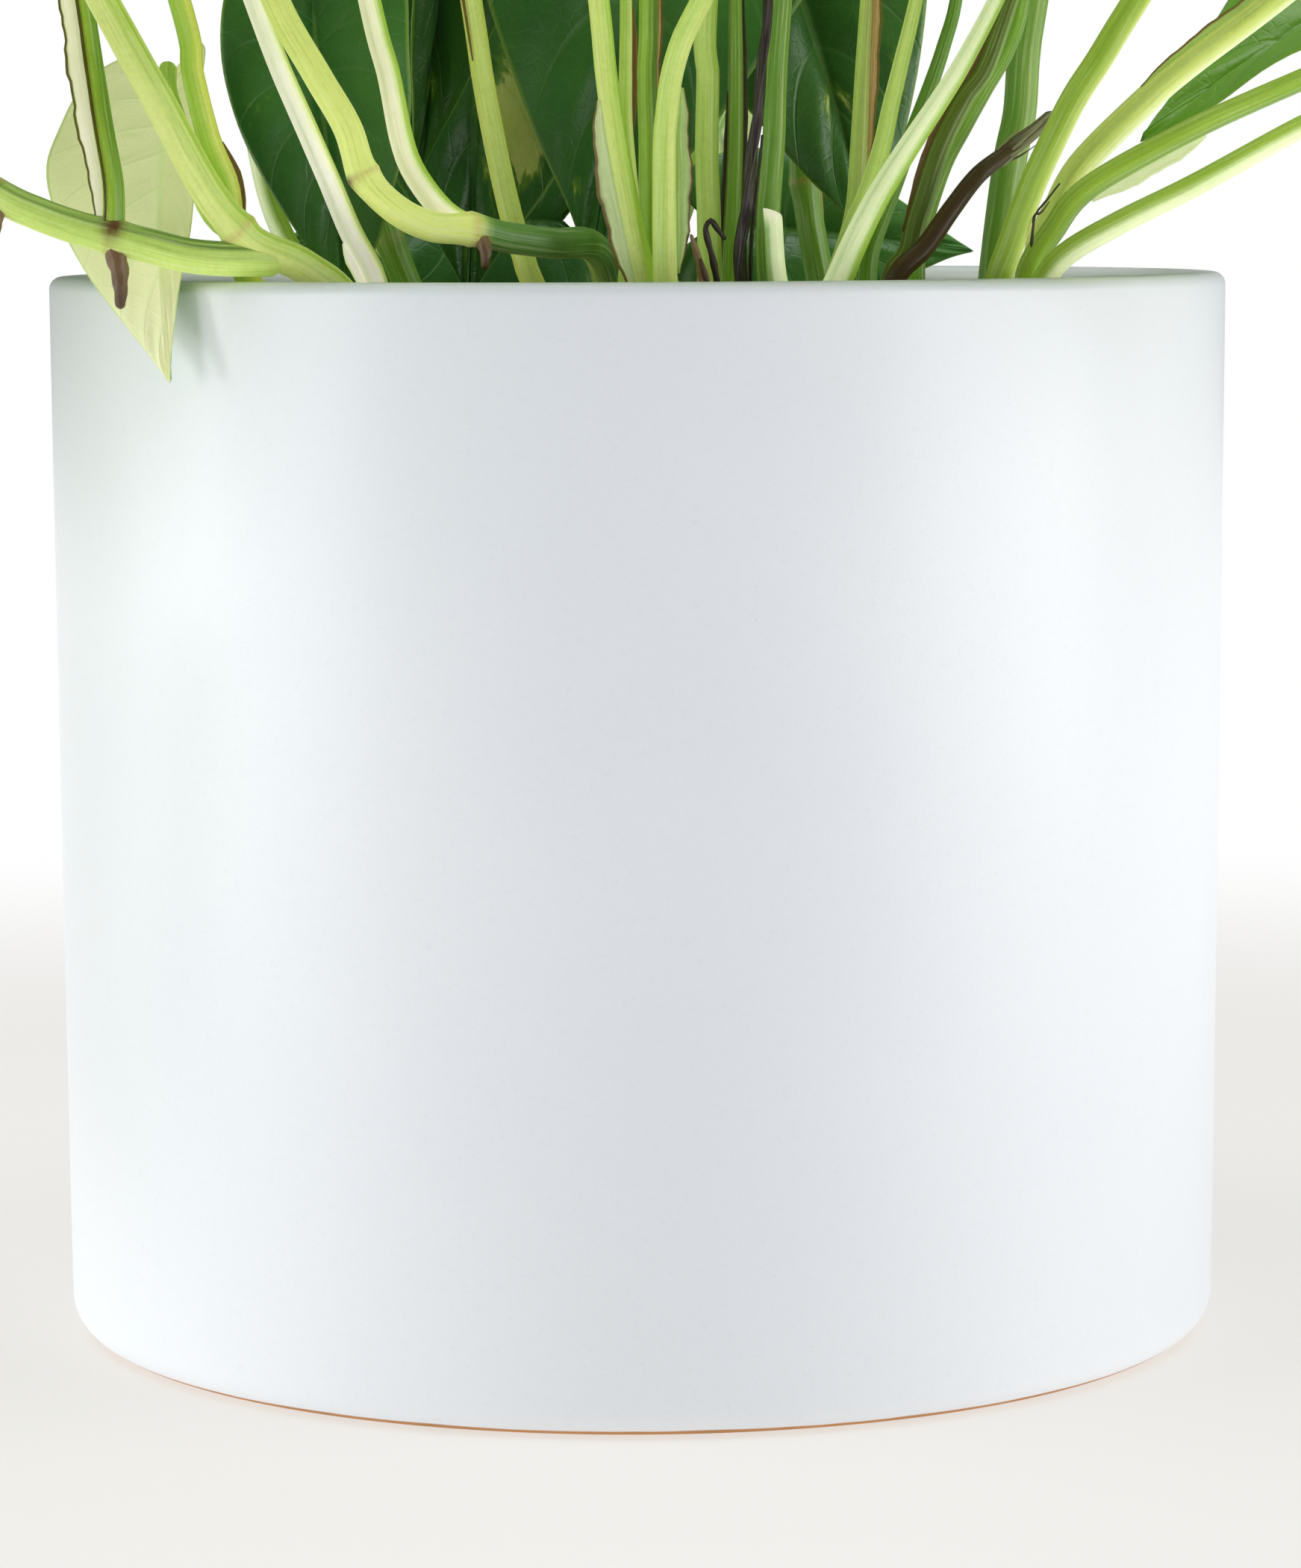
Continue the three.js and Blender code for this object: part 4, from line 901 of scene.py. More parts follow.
def potMaterial(shape):
    material, tree, skin = makeMaterial("whiteGlaze")
    place = objectPlace(tree)
    height = addNode(tree, "ShaderNodeSeparateXYZ", {0: place}).outputs[2]
    edgeNoise = noise(tree, place, 90.0, 2.0)
    level = math2(tree, "SUBTRACT", height, times(tree, edgeNoise, 0.0004))
    bareTop = shape["bareHeight"] + shape["bareFade"]
    bare = ramp(tree, level, shape["bareHeight"] * mm, bareTop * mm, 1.0, 0.0)
    cells = addNode(tree, "ShaderNodeTexVoronoi", {"Vector": place, "Scale": 95.0}, feature="F1").outputs
    sparse = math2(tree, "GREATER_THAN", colourParts(tree, cells["Color"])[0], 0.985)
    speck = times(tree, ramp(tree, cells["Distance"], 0.02, 0.05, 1.0, 0.0), sparse)
    grain = grainOf(tree, 2600.0, 2.0)
    cloudy = ramp(tree, noise(tree, place, 14.0, 4.0), 0.3, 0.7)
    glaze = blendColours(tree, cloudy, shape["glaze"], shape["glazeCloud"])
    grainShare = times(tree, ramp(tree, grain, 0.25, 0.5, 1.0, 0.0), 0.25)
    glaze = blendColours(tree, grainShare, glaze, shape["glazeGrain"])
    glaze = blendColours(tree, times(tree, speck, 0.8), glaze, shape["speck"])
    clay = blendColours(tree, edgeNoise, shape["clay"], shape["darkClay"])
    dress(tree, skin, {
        "Base Color": blendColours(tree, bare, glaze, clay),
        "Roughness": ramp(tree, bare, 0.0, 1.0, 0.34, 0.9),
    })
    addRelief(tree, skin, grain, 0.12, 0.0002)
    return material


def buildPot(shape):
    profile = potProfile(shape)
    turn = np.arange(shape["segments"]) / shape["segments"] * fullTurn
    wobble = 1 + 0.0006 * np.sin(3 * turn + 1.0) + 0.0004 * np.sin(5 * turn)
    radius = profile[:, 0:1] * wobble[None]
    height = np.broadcast_to(profile[:, 1:2], radius.shape)
    rings = np.stack([radius * np.cos(turn), radius * np.sin(turn), height], -1)
    ends = np.array([[0, 0, profile[0, 1]], [0, 0, profile[-1, 1]]])
    surfaceMap = np.stack(np.broadcast_arrays((turn / fullTurn)[None], profile[:, 1:2]), -1)
    tube = {"rings": rings, "ends": ends, "map": surfaceMap, "tint": np.ones((*rings.shape[:2], 3))}
    buildPiece("glazedPot", [tube], [potMaterial(shape)], "pot")


buildPot(potShape)
print("pot built")


# Soil: the solid keeps its form and gets a crumbly material, and loose bits lie over it
soilShape = {
    "edgeHeight": 144, "crown": 3, "reach": 81, "clear": 4.5, "crumbs": 900, "crumbSizes": (0.5, 1.7),
    "colours": [(62, 44, 32), (84, 60, 42), (46, 34, 26), (110, 82, 56)],
    "grit": (224, 220, 208), "gritShare": 0.06,
    "lumps": (shade(48, 34, 25), shade(96, 70, 48)), "cloud": shade(36, 27, 21), "fleck": shade(128, 100, 72),
    "crumbGrain": shade(120, 104, 88), "sunk": 0.45,
}


def soilMaterial(shape):
    material, tree, skin = makeMaterial("pottingSoil")
    place = objectPlace(tree)
    lumps = addNode(tree, "ShaderNodeTexVoronoi", {"Vector": place, "Scale": 330.0}).outputs
    grain = grainOf(tree, 1400.0, 4.0)
    base = blendColours(tree, colourParts(tree, lumps["Color"])[0], *shape["lumps"])
    cloudy = ramp(tree, noise(tree, place, 60.0, 5.0), 0.35, 0.65, 0.0, 0.6)
    base = blendColours(tree, cloudy, base, shape["cloud"])
    base = blendColours(tree, ramp(tree, grain, 0.55, 0.75, 0.0, 0.4), base, shape["fleck"])
    dress(tree, skin, {"Base Color": base, "Roughness": 0.95})
    height = math2(tree, "MULTIPLY_ADD", lumps["Distance"], -1.0, times(tree, grain, 0.5))
    addRelief(tree, skin, height, 0.9, 0.0015)
    return material


def crumbMaterial(shape):
    material, tree, skin = makeMaterial("soilCrumbs")
    grain = grainOf(tree, 2200.0, 3.0)
    grainShare = ramp(tree, grain, 0.35, 0.7, 0.0, 0.55)
    base = blendColours(tree, grainShare, storedTint(tree), shape["crumbGrain"], "MULTIPLY")
    dress(tree, skin, {"Base Color": base, "Roughness": 0.92})
    addRelief(tree, skin, grain, 0.7, 0.0005)
    return material


# The crumbs as one grid of rings: a ball's rings, sin(t) (cos a, sin a) and cos(t), made lumpy by its own
# waves, pressed flat and turned. Each stands on the soil's slope, clear of the stems.
def crumbTubes(shape, stemFeet):
    count = shape["crumbs"]
    distance = shape["reach"] * np.sqrt(rng.uniform(0, 1, count))
    bearing = rng.uniform(0, fullTurn, count)
    spots = np.stack([distance * np.cos(bearing), distance * np.sin(bearing)], -1)
    isClear = np.linalg.norm(spots[:, None] - stemFeet[None], axis=-1).min(1) > shape["clear"]
    distance, spots = distance[isClear], spots[isClear]
    count = len(spots)
    small, large = shape["crumbSizes"]
    size = small + (large - small) * rng.uniform(0, 1, count) ** 2.5
    crown = shape["crown"]
    reached = distance / (potShape["radius"] - potShape["wall"])
    slope = np.interp(reached, [0, 0.6, 1], [crown, crown * 0.8, 0])
    polar = np.linspace(0, math.pi, 7)[1:-1]
    turn = np.arange(9) / 9 * fullTurn
    phases = rng.uniform(0, fullTurn, (count, 4))
    around, down, phase = turn[None, None], polar[None, :, None], phases[:, :, None, None]
    lumpy = (1 + 0.18 * np.sin(2 * around + 2 * down + phase[:, 0])
             + 0.12 * np.sin(3 * around - down * 3 + phase[:, 1]))
    flat = rng.uniform(0.45, 0.85, count)
    long = rng.uniform(0.8, 1.7, count)
    ball = np.stack(np.broadcast_arrays(
        np.sin(down) * np.cos(around) * long[:, None, None],
        np.sin(down) * np.sin(around),
        np.cos(down) * flat[:, None, None]), -1) * lumpy[..., None]
    x, y, z = ball[..., 0], ball[..., 1], ball[..., 2]
    cosine, sine = np.cos(phase[:, 2]), np.sin(phase[:, 2])
    turned = np.stack([x * cosine - y * sine, x * sine + y * cosine, z], -1)
    middle = np.column_stack([spots, shape["edgeHeight"] + slope + size * flat * shape["sunk"]])
    rings = middle[:, None, None] + turned * size[:, None, None, None]
    ends = middle[:, None] + np.array([[0, 0, 1.0], [0, 0, -1.0]])[None] * (size * flat)[:, None, None]
    colours = np.array([shade(*colour)[:3] for colour in [*shape["colours"], shape["grit"]]])
    isGrit = rng.uniform(0, 1, count) < shape["gritShare"]
    which = np.where(isGrit, len(colours) - 1, rng.integers(0, len(colours) - 1, count))
    tint = np.broadcast_to(colours[which][:, None, None], rings.shape)
    surfaceMap = np.stack(np.broadcast_arrays((turn / fullTurn)[None], polar[:, None]), -1)
    return [{"rings": rings[i], "ends": ends[i], "map": surfaceMap, "tint": tint[i]} for i in range(count)]


def buildSoil(shape):
    for place in bpy.data.objects["soil"].material_slots:
        place.material = soilMaterial(shape)
    lowShares = np.array([0.1, 0.18, 0.26, 0.34])
    feet = np.vstack([alongCurve(vine["stem"], lowShares)[:, :2] for vine in vines])
    buildPiece("soilCrumbs", crumbTubes(shape, feet), [crumbMaterial(shape)], None)


buildSoil(soilShape)
print("soil finished")

# Stems and leaf stalks: screen colours by name
palette = {
    "lime": (196, 214, 120), "grass": (150, 194, 52), "pale": (246, 250, 230), "cream": (246, 249, 214),
    "meadow": (168, 208, 72), "fresh": (204, 222, 120), "bright": (191, 214, 110), "apple": (158, 194, 66),
    "moss": (108, 152, 44), "leaf": (108, 158, 52), "soft": (184, 214, 106), "frost": (202, 218, 168),
    "olive": (84, 104, 22), "fern": (92, 146, 32), "sage": (128, 168, 72), "reed": (144, 180, 88),
    "forest": (112, 158, 42), "spring": (132, 184, 60), "vine": (92, 138, 60), "deep": (44, 96, 36),
    "bark": (66, 50, 24), "dead": (38, 28, 20), "stub": (124, 172, 70), "root": (124, 98, 66),
    "paper": (176, 142, 88), "rust": (96, 62, 30), "husk": (122, 124, 86), "grey": (168, 190, 130),
    "hay": (158, 180, 84), "citron": (204, 222, 88),
}
# Each stalk: its colour, the colour of a band round it, where that band lies (0 right, 1.57 front, 3.14 left)
# and its papery wings: (angle, width, from height, to height, inner colour, edge colour)
stemLooks = {
    "vine_left": {"stem": "lime", "band": "grass", "at": 0.3, "stalks": [
        ("meadow", "grass", 0.2, []),
        ("citron", "meadow", 2.4, [(0.1, 0.7, 170, 182, "rust", "rust")]),
        ("pale", "bright", -0.2, [(2.7, 1.5, 160, 169, "pale", "frost")]),
        ("frost", "grass", 0.3, []),
    ]},
    "branch": {
        "stem": "soft", "band": "vine", "at": 0.5, "stripes": "deep", "scars": [(5, 0.9, 1.5)],
        "stalks": [
            ("apple", "moss", 0.4, [
                (2.75, 2.2, 167, 216, "cream", "bark"), (2.1, 0.7, 167, 216, "rust", "bark"),
            ]),
        ],
    },
    "vine_front": {
        "stem": "fresh", "band": "bright", "at": 2.6, "low": "vine", "scars": [(9, 2.0, 0.6)],
        "stalks": [
            ("cream", "meadow", -0.1, []),
            ("citron", "bright", 2.2, [(3.0, 0.8, 193, 214, "rust", "rust")]),
        ],
    },
    "vine_centre": {"stem": "moss", "band": "leaf", "at": 1.0, "stalks": [
        ("meadow", "bright", 2.6, [(3.0, 2.6, 160, 188, "grey", "rust")]),
        ("bright", "soft", 2.7, [(0.3, 2.4, 162, 190, "reed", "rust")]),
        ("apple", "soft", 2.0, []),
        ("grass", "moss", 0.4, [(0.4, 0.9, 185, 212, "paper", "rust")]),
        ("bright", "apple", 2.4, [(0.2, 0.8, 182, 202, "rust", "rust")]),
        ("olive", "forest", 1.4, [
            (0.3, 0.7, 160, 205, "bark", "dead"), (2.9, 0.6, 160, 190, "bark", "dead"),
        ]),
        ("dead", "dead", 0.0, []),
    ]},
    "vine_mid_right": {"stem": "moss", "band": "leaf", "at": 1.0, "stalks": [
        ("moss", "leaf", 2.6, []),
        ("hay", "soft", 2.8, [(0.2, 1.5, 178, 214, "paper", "rust")]),
        ("soft", "apple", 0.2, []),
        ("frost", "grass", -0.2, []),
        ("stub", "frost", 1.5, []),
    ]},
    "vine_right": {"stem": "bark", "band": "bark", "at": 0.0, "frayedFrom": 7, "stalks": [
        ("olive", "sage", -0.2, [(2.8, 0.9, 168, 204, "rust", "rust")]),
        ("fern", "leaf", 0.2, []),
        ("spring", "moss", 0.4, []),
    ]},
    "vine_far_right": {"stem": "moss", "band": "leaf", "at": 1.0, "stalks": [
        ("sage", "leaf", 2.6, []),
        ("apple", "fresh", 0.5, []),
        ("fresh", "frost", -0.1, [(2.9, 1.4, 188, 208, "reed", "rust")]),
        ("apple", "sage", 0.3, [(0.1, 1.8, 174, 184, "frost", "frost")]),
        ("frost", "apple", 2.9, []),
    ]},
    "vine_back_left": {"stem": "leaf", "band": "moss", "at": 1.0, "stalks": [
        ("apple", "moss", 0.3, [(2.8, 1.4, 176, 200, "paper", "rust")]),
    ]},
    "vine_back": {"stem": "leaf", "band": "moss", "at": 1.0, "stalks": []},
    "vine_back_right": {"stem": "leaf", "band": "moss", "at": 1.0, "stalks": []},
}
otherStalks = ["apple", "meadow", "leaf", "soft", "grass", "spring"]


# Stem streak colours, and the strength of the stems' painted glow, an emission standing in for light let
# through from behind
stemSkin = {
    "light": shade(232, 240, 190), "dark": shade(158, 180, 104), "patch": shade(184, 206, 140),
    "grain": shade(130, 150, 80), "glow": 0.42,
}


def stemMaterial(settings):
    material, tree, skin = makeMaterial("greenStem")
    tint = storedTint(tree)
    tintParts = colourParts(tree, tint)
    turnShare, length = mapParts(tree)[:2]
    turn = times(tree, turnShare, fullTurn)
    sine, cosine = math2(tree, "SINE", turn), math2(tree, "COSINE", turn)
    stretched = joined(tree, sine, cosine, times(tree, length, 0.012))
    streaks = noise(tree, stretched, 6.0, 2.0)
    patchy = noise(tree, objectPlace(tree), 55.0, 2.0)
    grain = grainOf(tree, 1500.0, 3.0)
    streakLight = times(tree, ramp(tree, streaks, 0.5, 0.68, 0.0, 0.3), ramp(tree, tintParts[1], 0.05, 0.25))
    base = blendColours(tree, streakLight, tint, settings["light"])
    base = blendColours(tree, ramp(tree, streaks, 0.47, 0.3, 0.0, 0.24), base, settings["dark"], "MULTIPLY")
    base = blendColours(tree, ramp(tree, patchy, 0.4, 0.75, 0.0, 0.2), base, settings["patch"], "MULTIPLY")
    base = blendColours(tree, ramp(tree, grain, 0.35, 0.7, 0.0, 0.1), base, settings["grain"], "MULTIPLY")
    # painted glow: an emission that stands in for light coming through the stem from behind, strong on pale
    # tissue and weak on dark
    paintedGlowShare = ramp(tree, tintParts[2], 0.08, 0.55, 0.24, 1.0)
    dress(tree, skin, {
        "Base Color": base, "Roughness": 0.38,
        "Emission Color": blendColours(tree, paintedGlowShare, black, base), "Emission Strength": settings["glow"],
        "Subsurface Weight": 0.3, "Subsurface Radius": (0.7, 1.0, 0.3), "Subsurface Scale": 0.0025,
    })
    addRelief(tree, skin, math2(tree, "MULTIPLY_ADD", streaks, 0.8, times(tree, grain, 0.2)), 0.3, 0.0004)
    return material


# A named colour as linear light, made lighter for the studio and kept below white
def linear(name):
    colour = np.array(shade(*palette[name])[:3]) * [1.32, 1.2, 1.34]
    return colour / max(1, colour.max() / 0.94)


def mixTints(first, second, share):
    return first + (second - first) * share[..., None]


def evenTint(name, lengths, turn):
    return linear(name) * np.ones((len(lengths), len(turn), 1))


# How far each angle round a tube lies from a given one, from 0 to pi
def angleOff(turn, angle):
    return np.abs(np.angle(np.exp(1j * (turn - angle))))


def bell(distance, reach):  # exp(-(distance / reach)^2)
    return np.exp(-((distance / reach) ** 2))


# A stem: radius r0 + (r1 - r0) s, times 1 + 0.14 of a wide bell and 0.07 of a slim one at each node; a thin
# raised line round each node, and darker stripes along the band side
stemShape = {
    "sides": 28, "spacing": 0.9, "swelling": (0.14, 1.8), "ridge": (0.07, 0.35), "ribDepth": 0.03,
    "bandReach": 0.75, "nodeLine": (0.4, 0.45), "scarWidth": 0.7,
}


def stemTube(stem, looks, shape):
    points = np.array(stem["stem"], float)
    run = runOf(points)

    def lengthAt(index):
        return run[round(400 * index / (len(points) - 1))]

    nodes = [lengthAt(index) for index in stem["rings"]]

    def radiusAt(lengths, turn):
        radius = stem["radii"][0] + (stem["radii"][1] - stem["radii"][0]) * lengths / run[-1]
        for place in nodes:
            (swell, wide), (ridge, slim) = shape["swelling"], shape["ridge"]
            radius = radius * (1 + swell * bell(lengths - place, wide) + ridge * bell(lengths - place, slim))
        ribs = 1 + shape["ribDepth"] * np.sin(5 * turn[None] + lengths[:, None] * 0.03)
        return radius[:, None] * ribs

    def tintAt(lengths, turn):
        main = evenTint(looks["stem"], lengths, turn)
        if "low" in looks:
            main = mixTints(main, linear(looks["low"]), np.clip((nodes[0] - lengths) / 2, 0, 1)[:, None])
        bandShare = bell(angleOff(turn, looks["at"]), shape["bandReach"])[None]
        main = mixTints(main, linear(looks["band"]), bandShare * (0.6 + 0.4 * np.sin(9 * turn))[None])
        if "stripes" in looks:
            lowShare = np.clip((nodes[0] - 2 - lengths) / 4, 0, 1)[:, None]
            striped = lowShare * np.clip(np.sin(16 * turn + 0.4) * 2.5, 0, 1)[None]
            main = mixTints(main, linear(looks["stripes"]), 0.8 * bandShare * striped)
        for place in nodes:
            line = bell(lengths - place, shape["nodeLine"][1]) * shape["nodeLine"][0]
            main = mixTints(main, linear("paper"), line[:, None])
        if "frayedFrom" in looks:
            frayed = np.clip((lengths - lengthAt(looks["frayedFrom"])) / 3, 0, 0.85)
            main = mixTints(main, linear("husk"), frayed[:, None] * (0.6 + 0.4 * np.sin(7 * turn))[None])
        for index, angle, reach in looks.get("scars", []):
            sideways = bell(angleOff(turn, angle), shape["scarWidth"])
            scar = bell(lengths - lengthAt(index), reach)[:, None] * sideways
            main = mixTints(main, linear("rust"), np.clip(scar * 1.4, 0, 1))
        return main

    return tubeAlong(points, radiusAt, tintAt, shape["sides"], shape["spacing"])


# A leaf stalk: round with a groove on its upper side, depth exp(-(angle / 0.4)^2), swollen under the blade. A
# dead one is wrinkled. A stub ends in a slanting cut: its last ring drops to the right,
# z - cut (1 + cos turn) / 2
stalkShape = {
    "sides": 22, "spacing": 1.6, "swelling": (0.18, 5), "groove": (0.16, 0.4), "deadGroove": 0.3,
    "wrinkle": 0.25, "bandEdge": 0.95, "cut": 1.3, "cutTint": (2.5, 2),
}


def stalkTube(stalk, look, groove, shape):
    start, end = stalk.get("radii", growth["stalkRadii"])
    points = stalk["full"]
    whole = curveLength(points)
    main, band, bandAngle = look[:3]
    isDead, isStub = main == "dead", main == "stub"

    def radiusAt(lengths, turn):
        radius = start + (end - start) * lengths / whole
        if stalk.get("leaf") is not None:
            radius = radius * (1 + shape["swelling"][0] * bell(whole - lengths, shape["swelling"][1]))
        wrinkle = 1 + (shape["wrinkle"] if isDead else 0.0) * np.sin(3 * turn[None] + lengths[:, None] * 0.5)
        depth = shape["deadGroove"] if isDead else shape["groove"][0]
        grooved = 1 - depth * bell(angleOff(turn, groove), shape["groove"][1])
        return radius[:, None] * grooved[None] * wrinkle

    def tintAt(lengths, turn):
        bandShare = 0.5 - 0.5 * np.tanh((angleOff(turn, bandAngle) - shape["bandEdge"]) * 4)
        tint = mixTints(evenTint(main, lengths, turn), linear(band), bandShare[None])
        if isStub:
            reach, fade = shape["cutTint"]
            return mixTints(tint, linear("cream"), np.clip((lengths - whole + reach) / fade, 0, 1)[:, None])
        if isDead:
            return tint
        # painted shade: darker moss green laid along the groove
        return mixTints(tint, linear("moss"), 0.25 * bell(angleOff(turn, groove), 0.35)[None])

    tube = tubeAlong(points, radiusAt, tintAt, shape["sides"], shape["spacing"], roundTip=not isStub)
    if isStub:
        turn = np.arange(shape["sides"]) / shape["sides"] * fullTurn
        tube["rings"][-1, :, 2] -= shape["cut"] * (0.5 + 0.5 * np.cos(turn))
        tube["ends"][1, 2] -= shape["cut"] / 2
    return tube


# A papery wing on a stalk: a thin strip that stands off it by width sin(pi share)^0.55 and leans forward,
# brown at its free edge. Wings wider than a given width lean back.
wingShape = {
    "spacing": 1.2, "lastShare": 0.9, "wide": 2, "lean": 0.8, "wideLean": -0.4, "thickness": 0.2, "sunk": 0.2,
    "steps": np.array([0, 0.25, 0.5, 0.7, 0.8, 0.9, 1.0, 1.0, 0.9, 0.8, 0.7, 0.5, 0.25, 0]),
    "faces": np.array([1, 1, 1, 1, 1, 1, 0.6, -0.6, -1, -1, -1, -1, -1, -1]),
    "brownEdge": 0.45, "brownFade": 0.08,
}


def wingTube(stalk, wing, shape):
    angle, width, low, high, inner, rimColour = wing
    start, end = stalk.get("radii", growth["stalkRadii"])
    places, side, up, lengths = stationsOf(stalk["full"], shape["spacing"])
    radius = start + (end - start) * lengths / lengths[-1]
    keep = (places[:, 2] >= low) & (places[:, 2] <= high) & (lengths < shape["lastShare"] * lengths[-1])
    if keep.sum() < 5:
        return None
    places, side, up, lengths, radius = (grid[keep] for grid in (places, side, up, lengths, radius))
    share = np.linspace(0, 1, len(lengths))
    out = math.cos(angle) * side + math.sin(angle) * up
    forward = shape["lean"] if width < shape["wide"] else shape["wideLean"]
    lean = math.cos(angle) * side + (math.sin(angle) + forward) * up
    across = unit(np.cross(out, np.gradient(places, axis=0)))
    ragged = 1 + 0.08 * np.sin(lengths * 0.7 + angle) + 0.05 * np.sin(lengths * 1.9 + 2 * angle)
    reach = width * np.sin(math.pi * np.clip(share, 0.02, 0.98)) ** 0.55 * ragged
    steps = shape["steps"]
    thickness = shape["thickness"] * (1 - 0.6 * steps)
    leaning = steps[None, :, None]
    direction = unit(out[:, None] * (1 - 0.5 * leaning) + lean[:, None] * 0.5 * leaning)
    rings = (places[:, None] + out[:, None] * (radius * 0.8)[:, None, None]
             + direction * ((reach[:, None] + shape["sunk"] * radius[:, None]) * steps[None])[..., None]
             + across[:, None] * (thickness * shape["faces"])[None, :, None])
    brownFrom = 1 - shape["brownEdge"] / max(width, 0.5)
    brown = np.clip((steps - brownFrom) / shape["brownFade"], 0, 1)[None]
    tint = mixTints(evenTint(inner, lengths, steps), linear(rimColour), brown)
    surfaceMap = np.stack(np.broadcast_arrays(steps[None] * 0.2, lengths[:, None]), -1)
    return {"rings": rings, "ends": rings[[0, -1]].mean(1), "map": surfaceMap, "tint": tint}


# A root nub under a node: a stub that narrows as 1 - 0.65 s, with rough rings round it
def nubTube(nub):
    start, end, radius = nub

    def radiusAt(lengths, turn):
        narrowed = radius * (1 - 0.65 * lengths / max(lengths[-1], 1e-6))
        return narrowed[:, None] * (1 + 0.1 * np.sin(3 * turn[None] + lengths[:, None] * 2.1))

    def tintAt(lengths, turn):
        share = lengths / max(lengths[-1], 1e-6)
        return mixTints(evenTint("root", lengths, turn), linear("bark"), share[:, None])

    bend = (np.array(start, float) + np.array(end, float)) / 2 + [0.5, -0.4, 0]
    return tubeAlong(np.array([start, bend, end], float), radiusAt, tintAt, sides=14, spacing=0.7)


# Looks for a stalk that isn't listed: its colours by turns, with narrow wings that dry at their edge
def usualLook(number):
    main = otherStalks[number % len(otherStalks)]
    groove = math.pi / 2 + rng.uniform(-1.3, 1.3)
    width = rng.uniform(0.5, 1.0)
    low, high = rng.uniform(150, 175), rng.uniform(190, 245)
    wings = [(groove + sign * 0.75, width, low, high, main, "paper") for sign in (-1, 1)]
    return main, "moss", groove, wings


# Dry fibres by vine: a rootlet that hooks over, the fibrous foot of a dry sheath, a thin dark thread of one,
# and the frayed end of the old stem. Each: colour, radius, how far it narrows, points.
fibres = {
    "vine_centre": [
        ("dead", 0.52, 0.3, [
            (11.6, -66, 159.9), (10.8, -66.6, 164.5), (9.8, -67, 168.5), (9.8, -67.2, 169.8),
            (10.5, -67.2, 170.5), (11.2, -67, 169.5), (12.5, -66.6, 167.8),
        ]),
        ("root", 1.1, 0.75, [
            (10.2, -66.5, 158.5), (9.2, -66.8, 163.2), (8.3, -67.2, 166.3), (7.6, -67.6, 168.6),
        ]),
        ("bark", 0.5, 0.5, [(11.2, -67, 158.5), (9.6, -67.4, 162.5), (8.9, -67.6, 165.2)]),
    ],
    "vine_mid_right": [
        ("dead", 0.34, 0.4, [
            (16, -64, 159.8), (16.2, -64.4, 167.5), (16.8, -64.4, 173.5), (17.4, -64.4, 178.5),
            (17.8, -64.4, 182.5),
        ]),
    ],
    "vine_right": [
        ("husk", 0.3, 0.7, [(51.5, -53, 178.5), (54.6, -52, 180.9), (58.6, -49, 184.3)]),
        ("husk", 0.26, 0.7, [(52.2, -53.4, 178.6), (55.4, -52, 180.6), (58.2, -50, 182.7)]),
        ("bark", 0.28, 0.7, [(51.4, -53.2, 179.3), (54, -52.6, 181.9), (56.4, -51, 183.7)]),
        ("husk", 0.3, 0.7, [(52, -53.4, 177.8), (54.2, -52.4, 179.4), (56.2, -50, 181.7)]),
        ("bark", 0.22, 0.7, [(51.8, -53.4, 178.2), (54.8, -52, 179.3), (57.6, -49.4, 181)]),
        ("husk", 0.24, 0.7, [(51, -53, 179.2), (53, -52.8, 181.7), (55, -52, 183.2)]),
    ],
    "vine_far_right": [
        ("dead", 0.24, 0.5, [
            (56.1, -60.4, 166.4), (56.3, -61.6, 169.3), (56.6, -61.4, 171.1), (58.4, -59, 173.1),
            (60.5, -56, 175.5),
        ]),
        ("bark", 0.2, 0.5, [(56.6, -61.2, 171), (57.6, -61, 171.5), (58.7, -60, 172.9)]),
    ],
}


def fibreTube(colour, radius, narrowing, points):
    def radiusAt(lengths, turn):
        narrowed = radius * (1 - narrowing * lengths / lengths[-1])
        return narrowed[:, None] * (1 + 0.12 * np.sin(2 * turn[None] + lengths[:, None] * 1.7))

    def tintAt(lengths, turn):
        return evenTint(colour, lengths, turn)

    return tubeAlong(np.array(points), radiusAt, tintAt, sides=10, spacing=0.5)


# One piece for a vine's stems, stalks, nubs and fibres, and one for its papery wings
def buildVines():
    material = stemMaterial(stemSkin)
    count = 0
    for vine in vines:
        tubes, wings = [], []
        for stem in stemsOf(vine):
            looks = stemLooks[stem.get("name", "branch")]
            tubes.append(stemTube(stem, looks, stemShape))
            for number, stalk in enumerate(stem["stalks"]):
                count += 1
                listed = number < len(looks["stalks"])
                look = looks["stalks"][number] if listed else usualLook(count)
                tubes.append(stalkTube(stalk, look, look[2] + (2.2 if listed else 0.0), stalkShape))
                wings += [wingTube(stalk, wing, wingShape) for wing in look[3]]
            tubes += [nubTube(nub) for nub in stem["nubs"]]
        tubes += [fibreTube(*fibre) for fibre in fibres.get(vine["name"], [])]
        name = "".join(word.capitalize() for word in vine["name"].split("_"))
        buildPiece("stems" + name, tubes, [material], vine["name"])
        wings = [wing for wing in wings if wing is not None]
        if wings:
            buildPiece("sheaths" + name, wings, [material], None)


buildVines()
print("stems and stalks built")

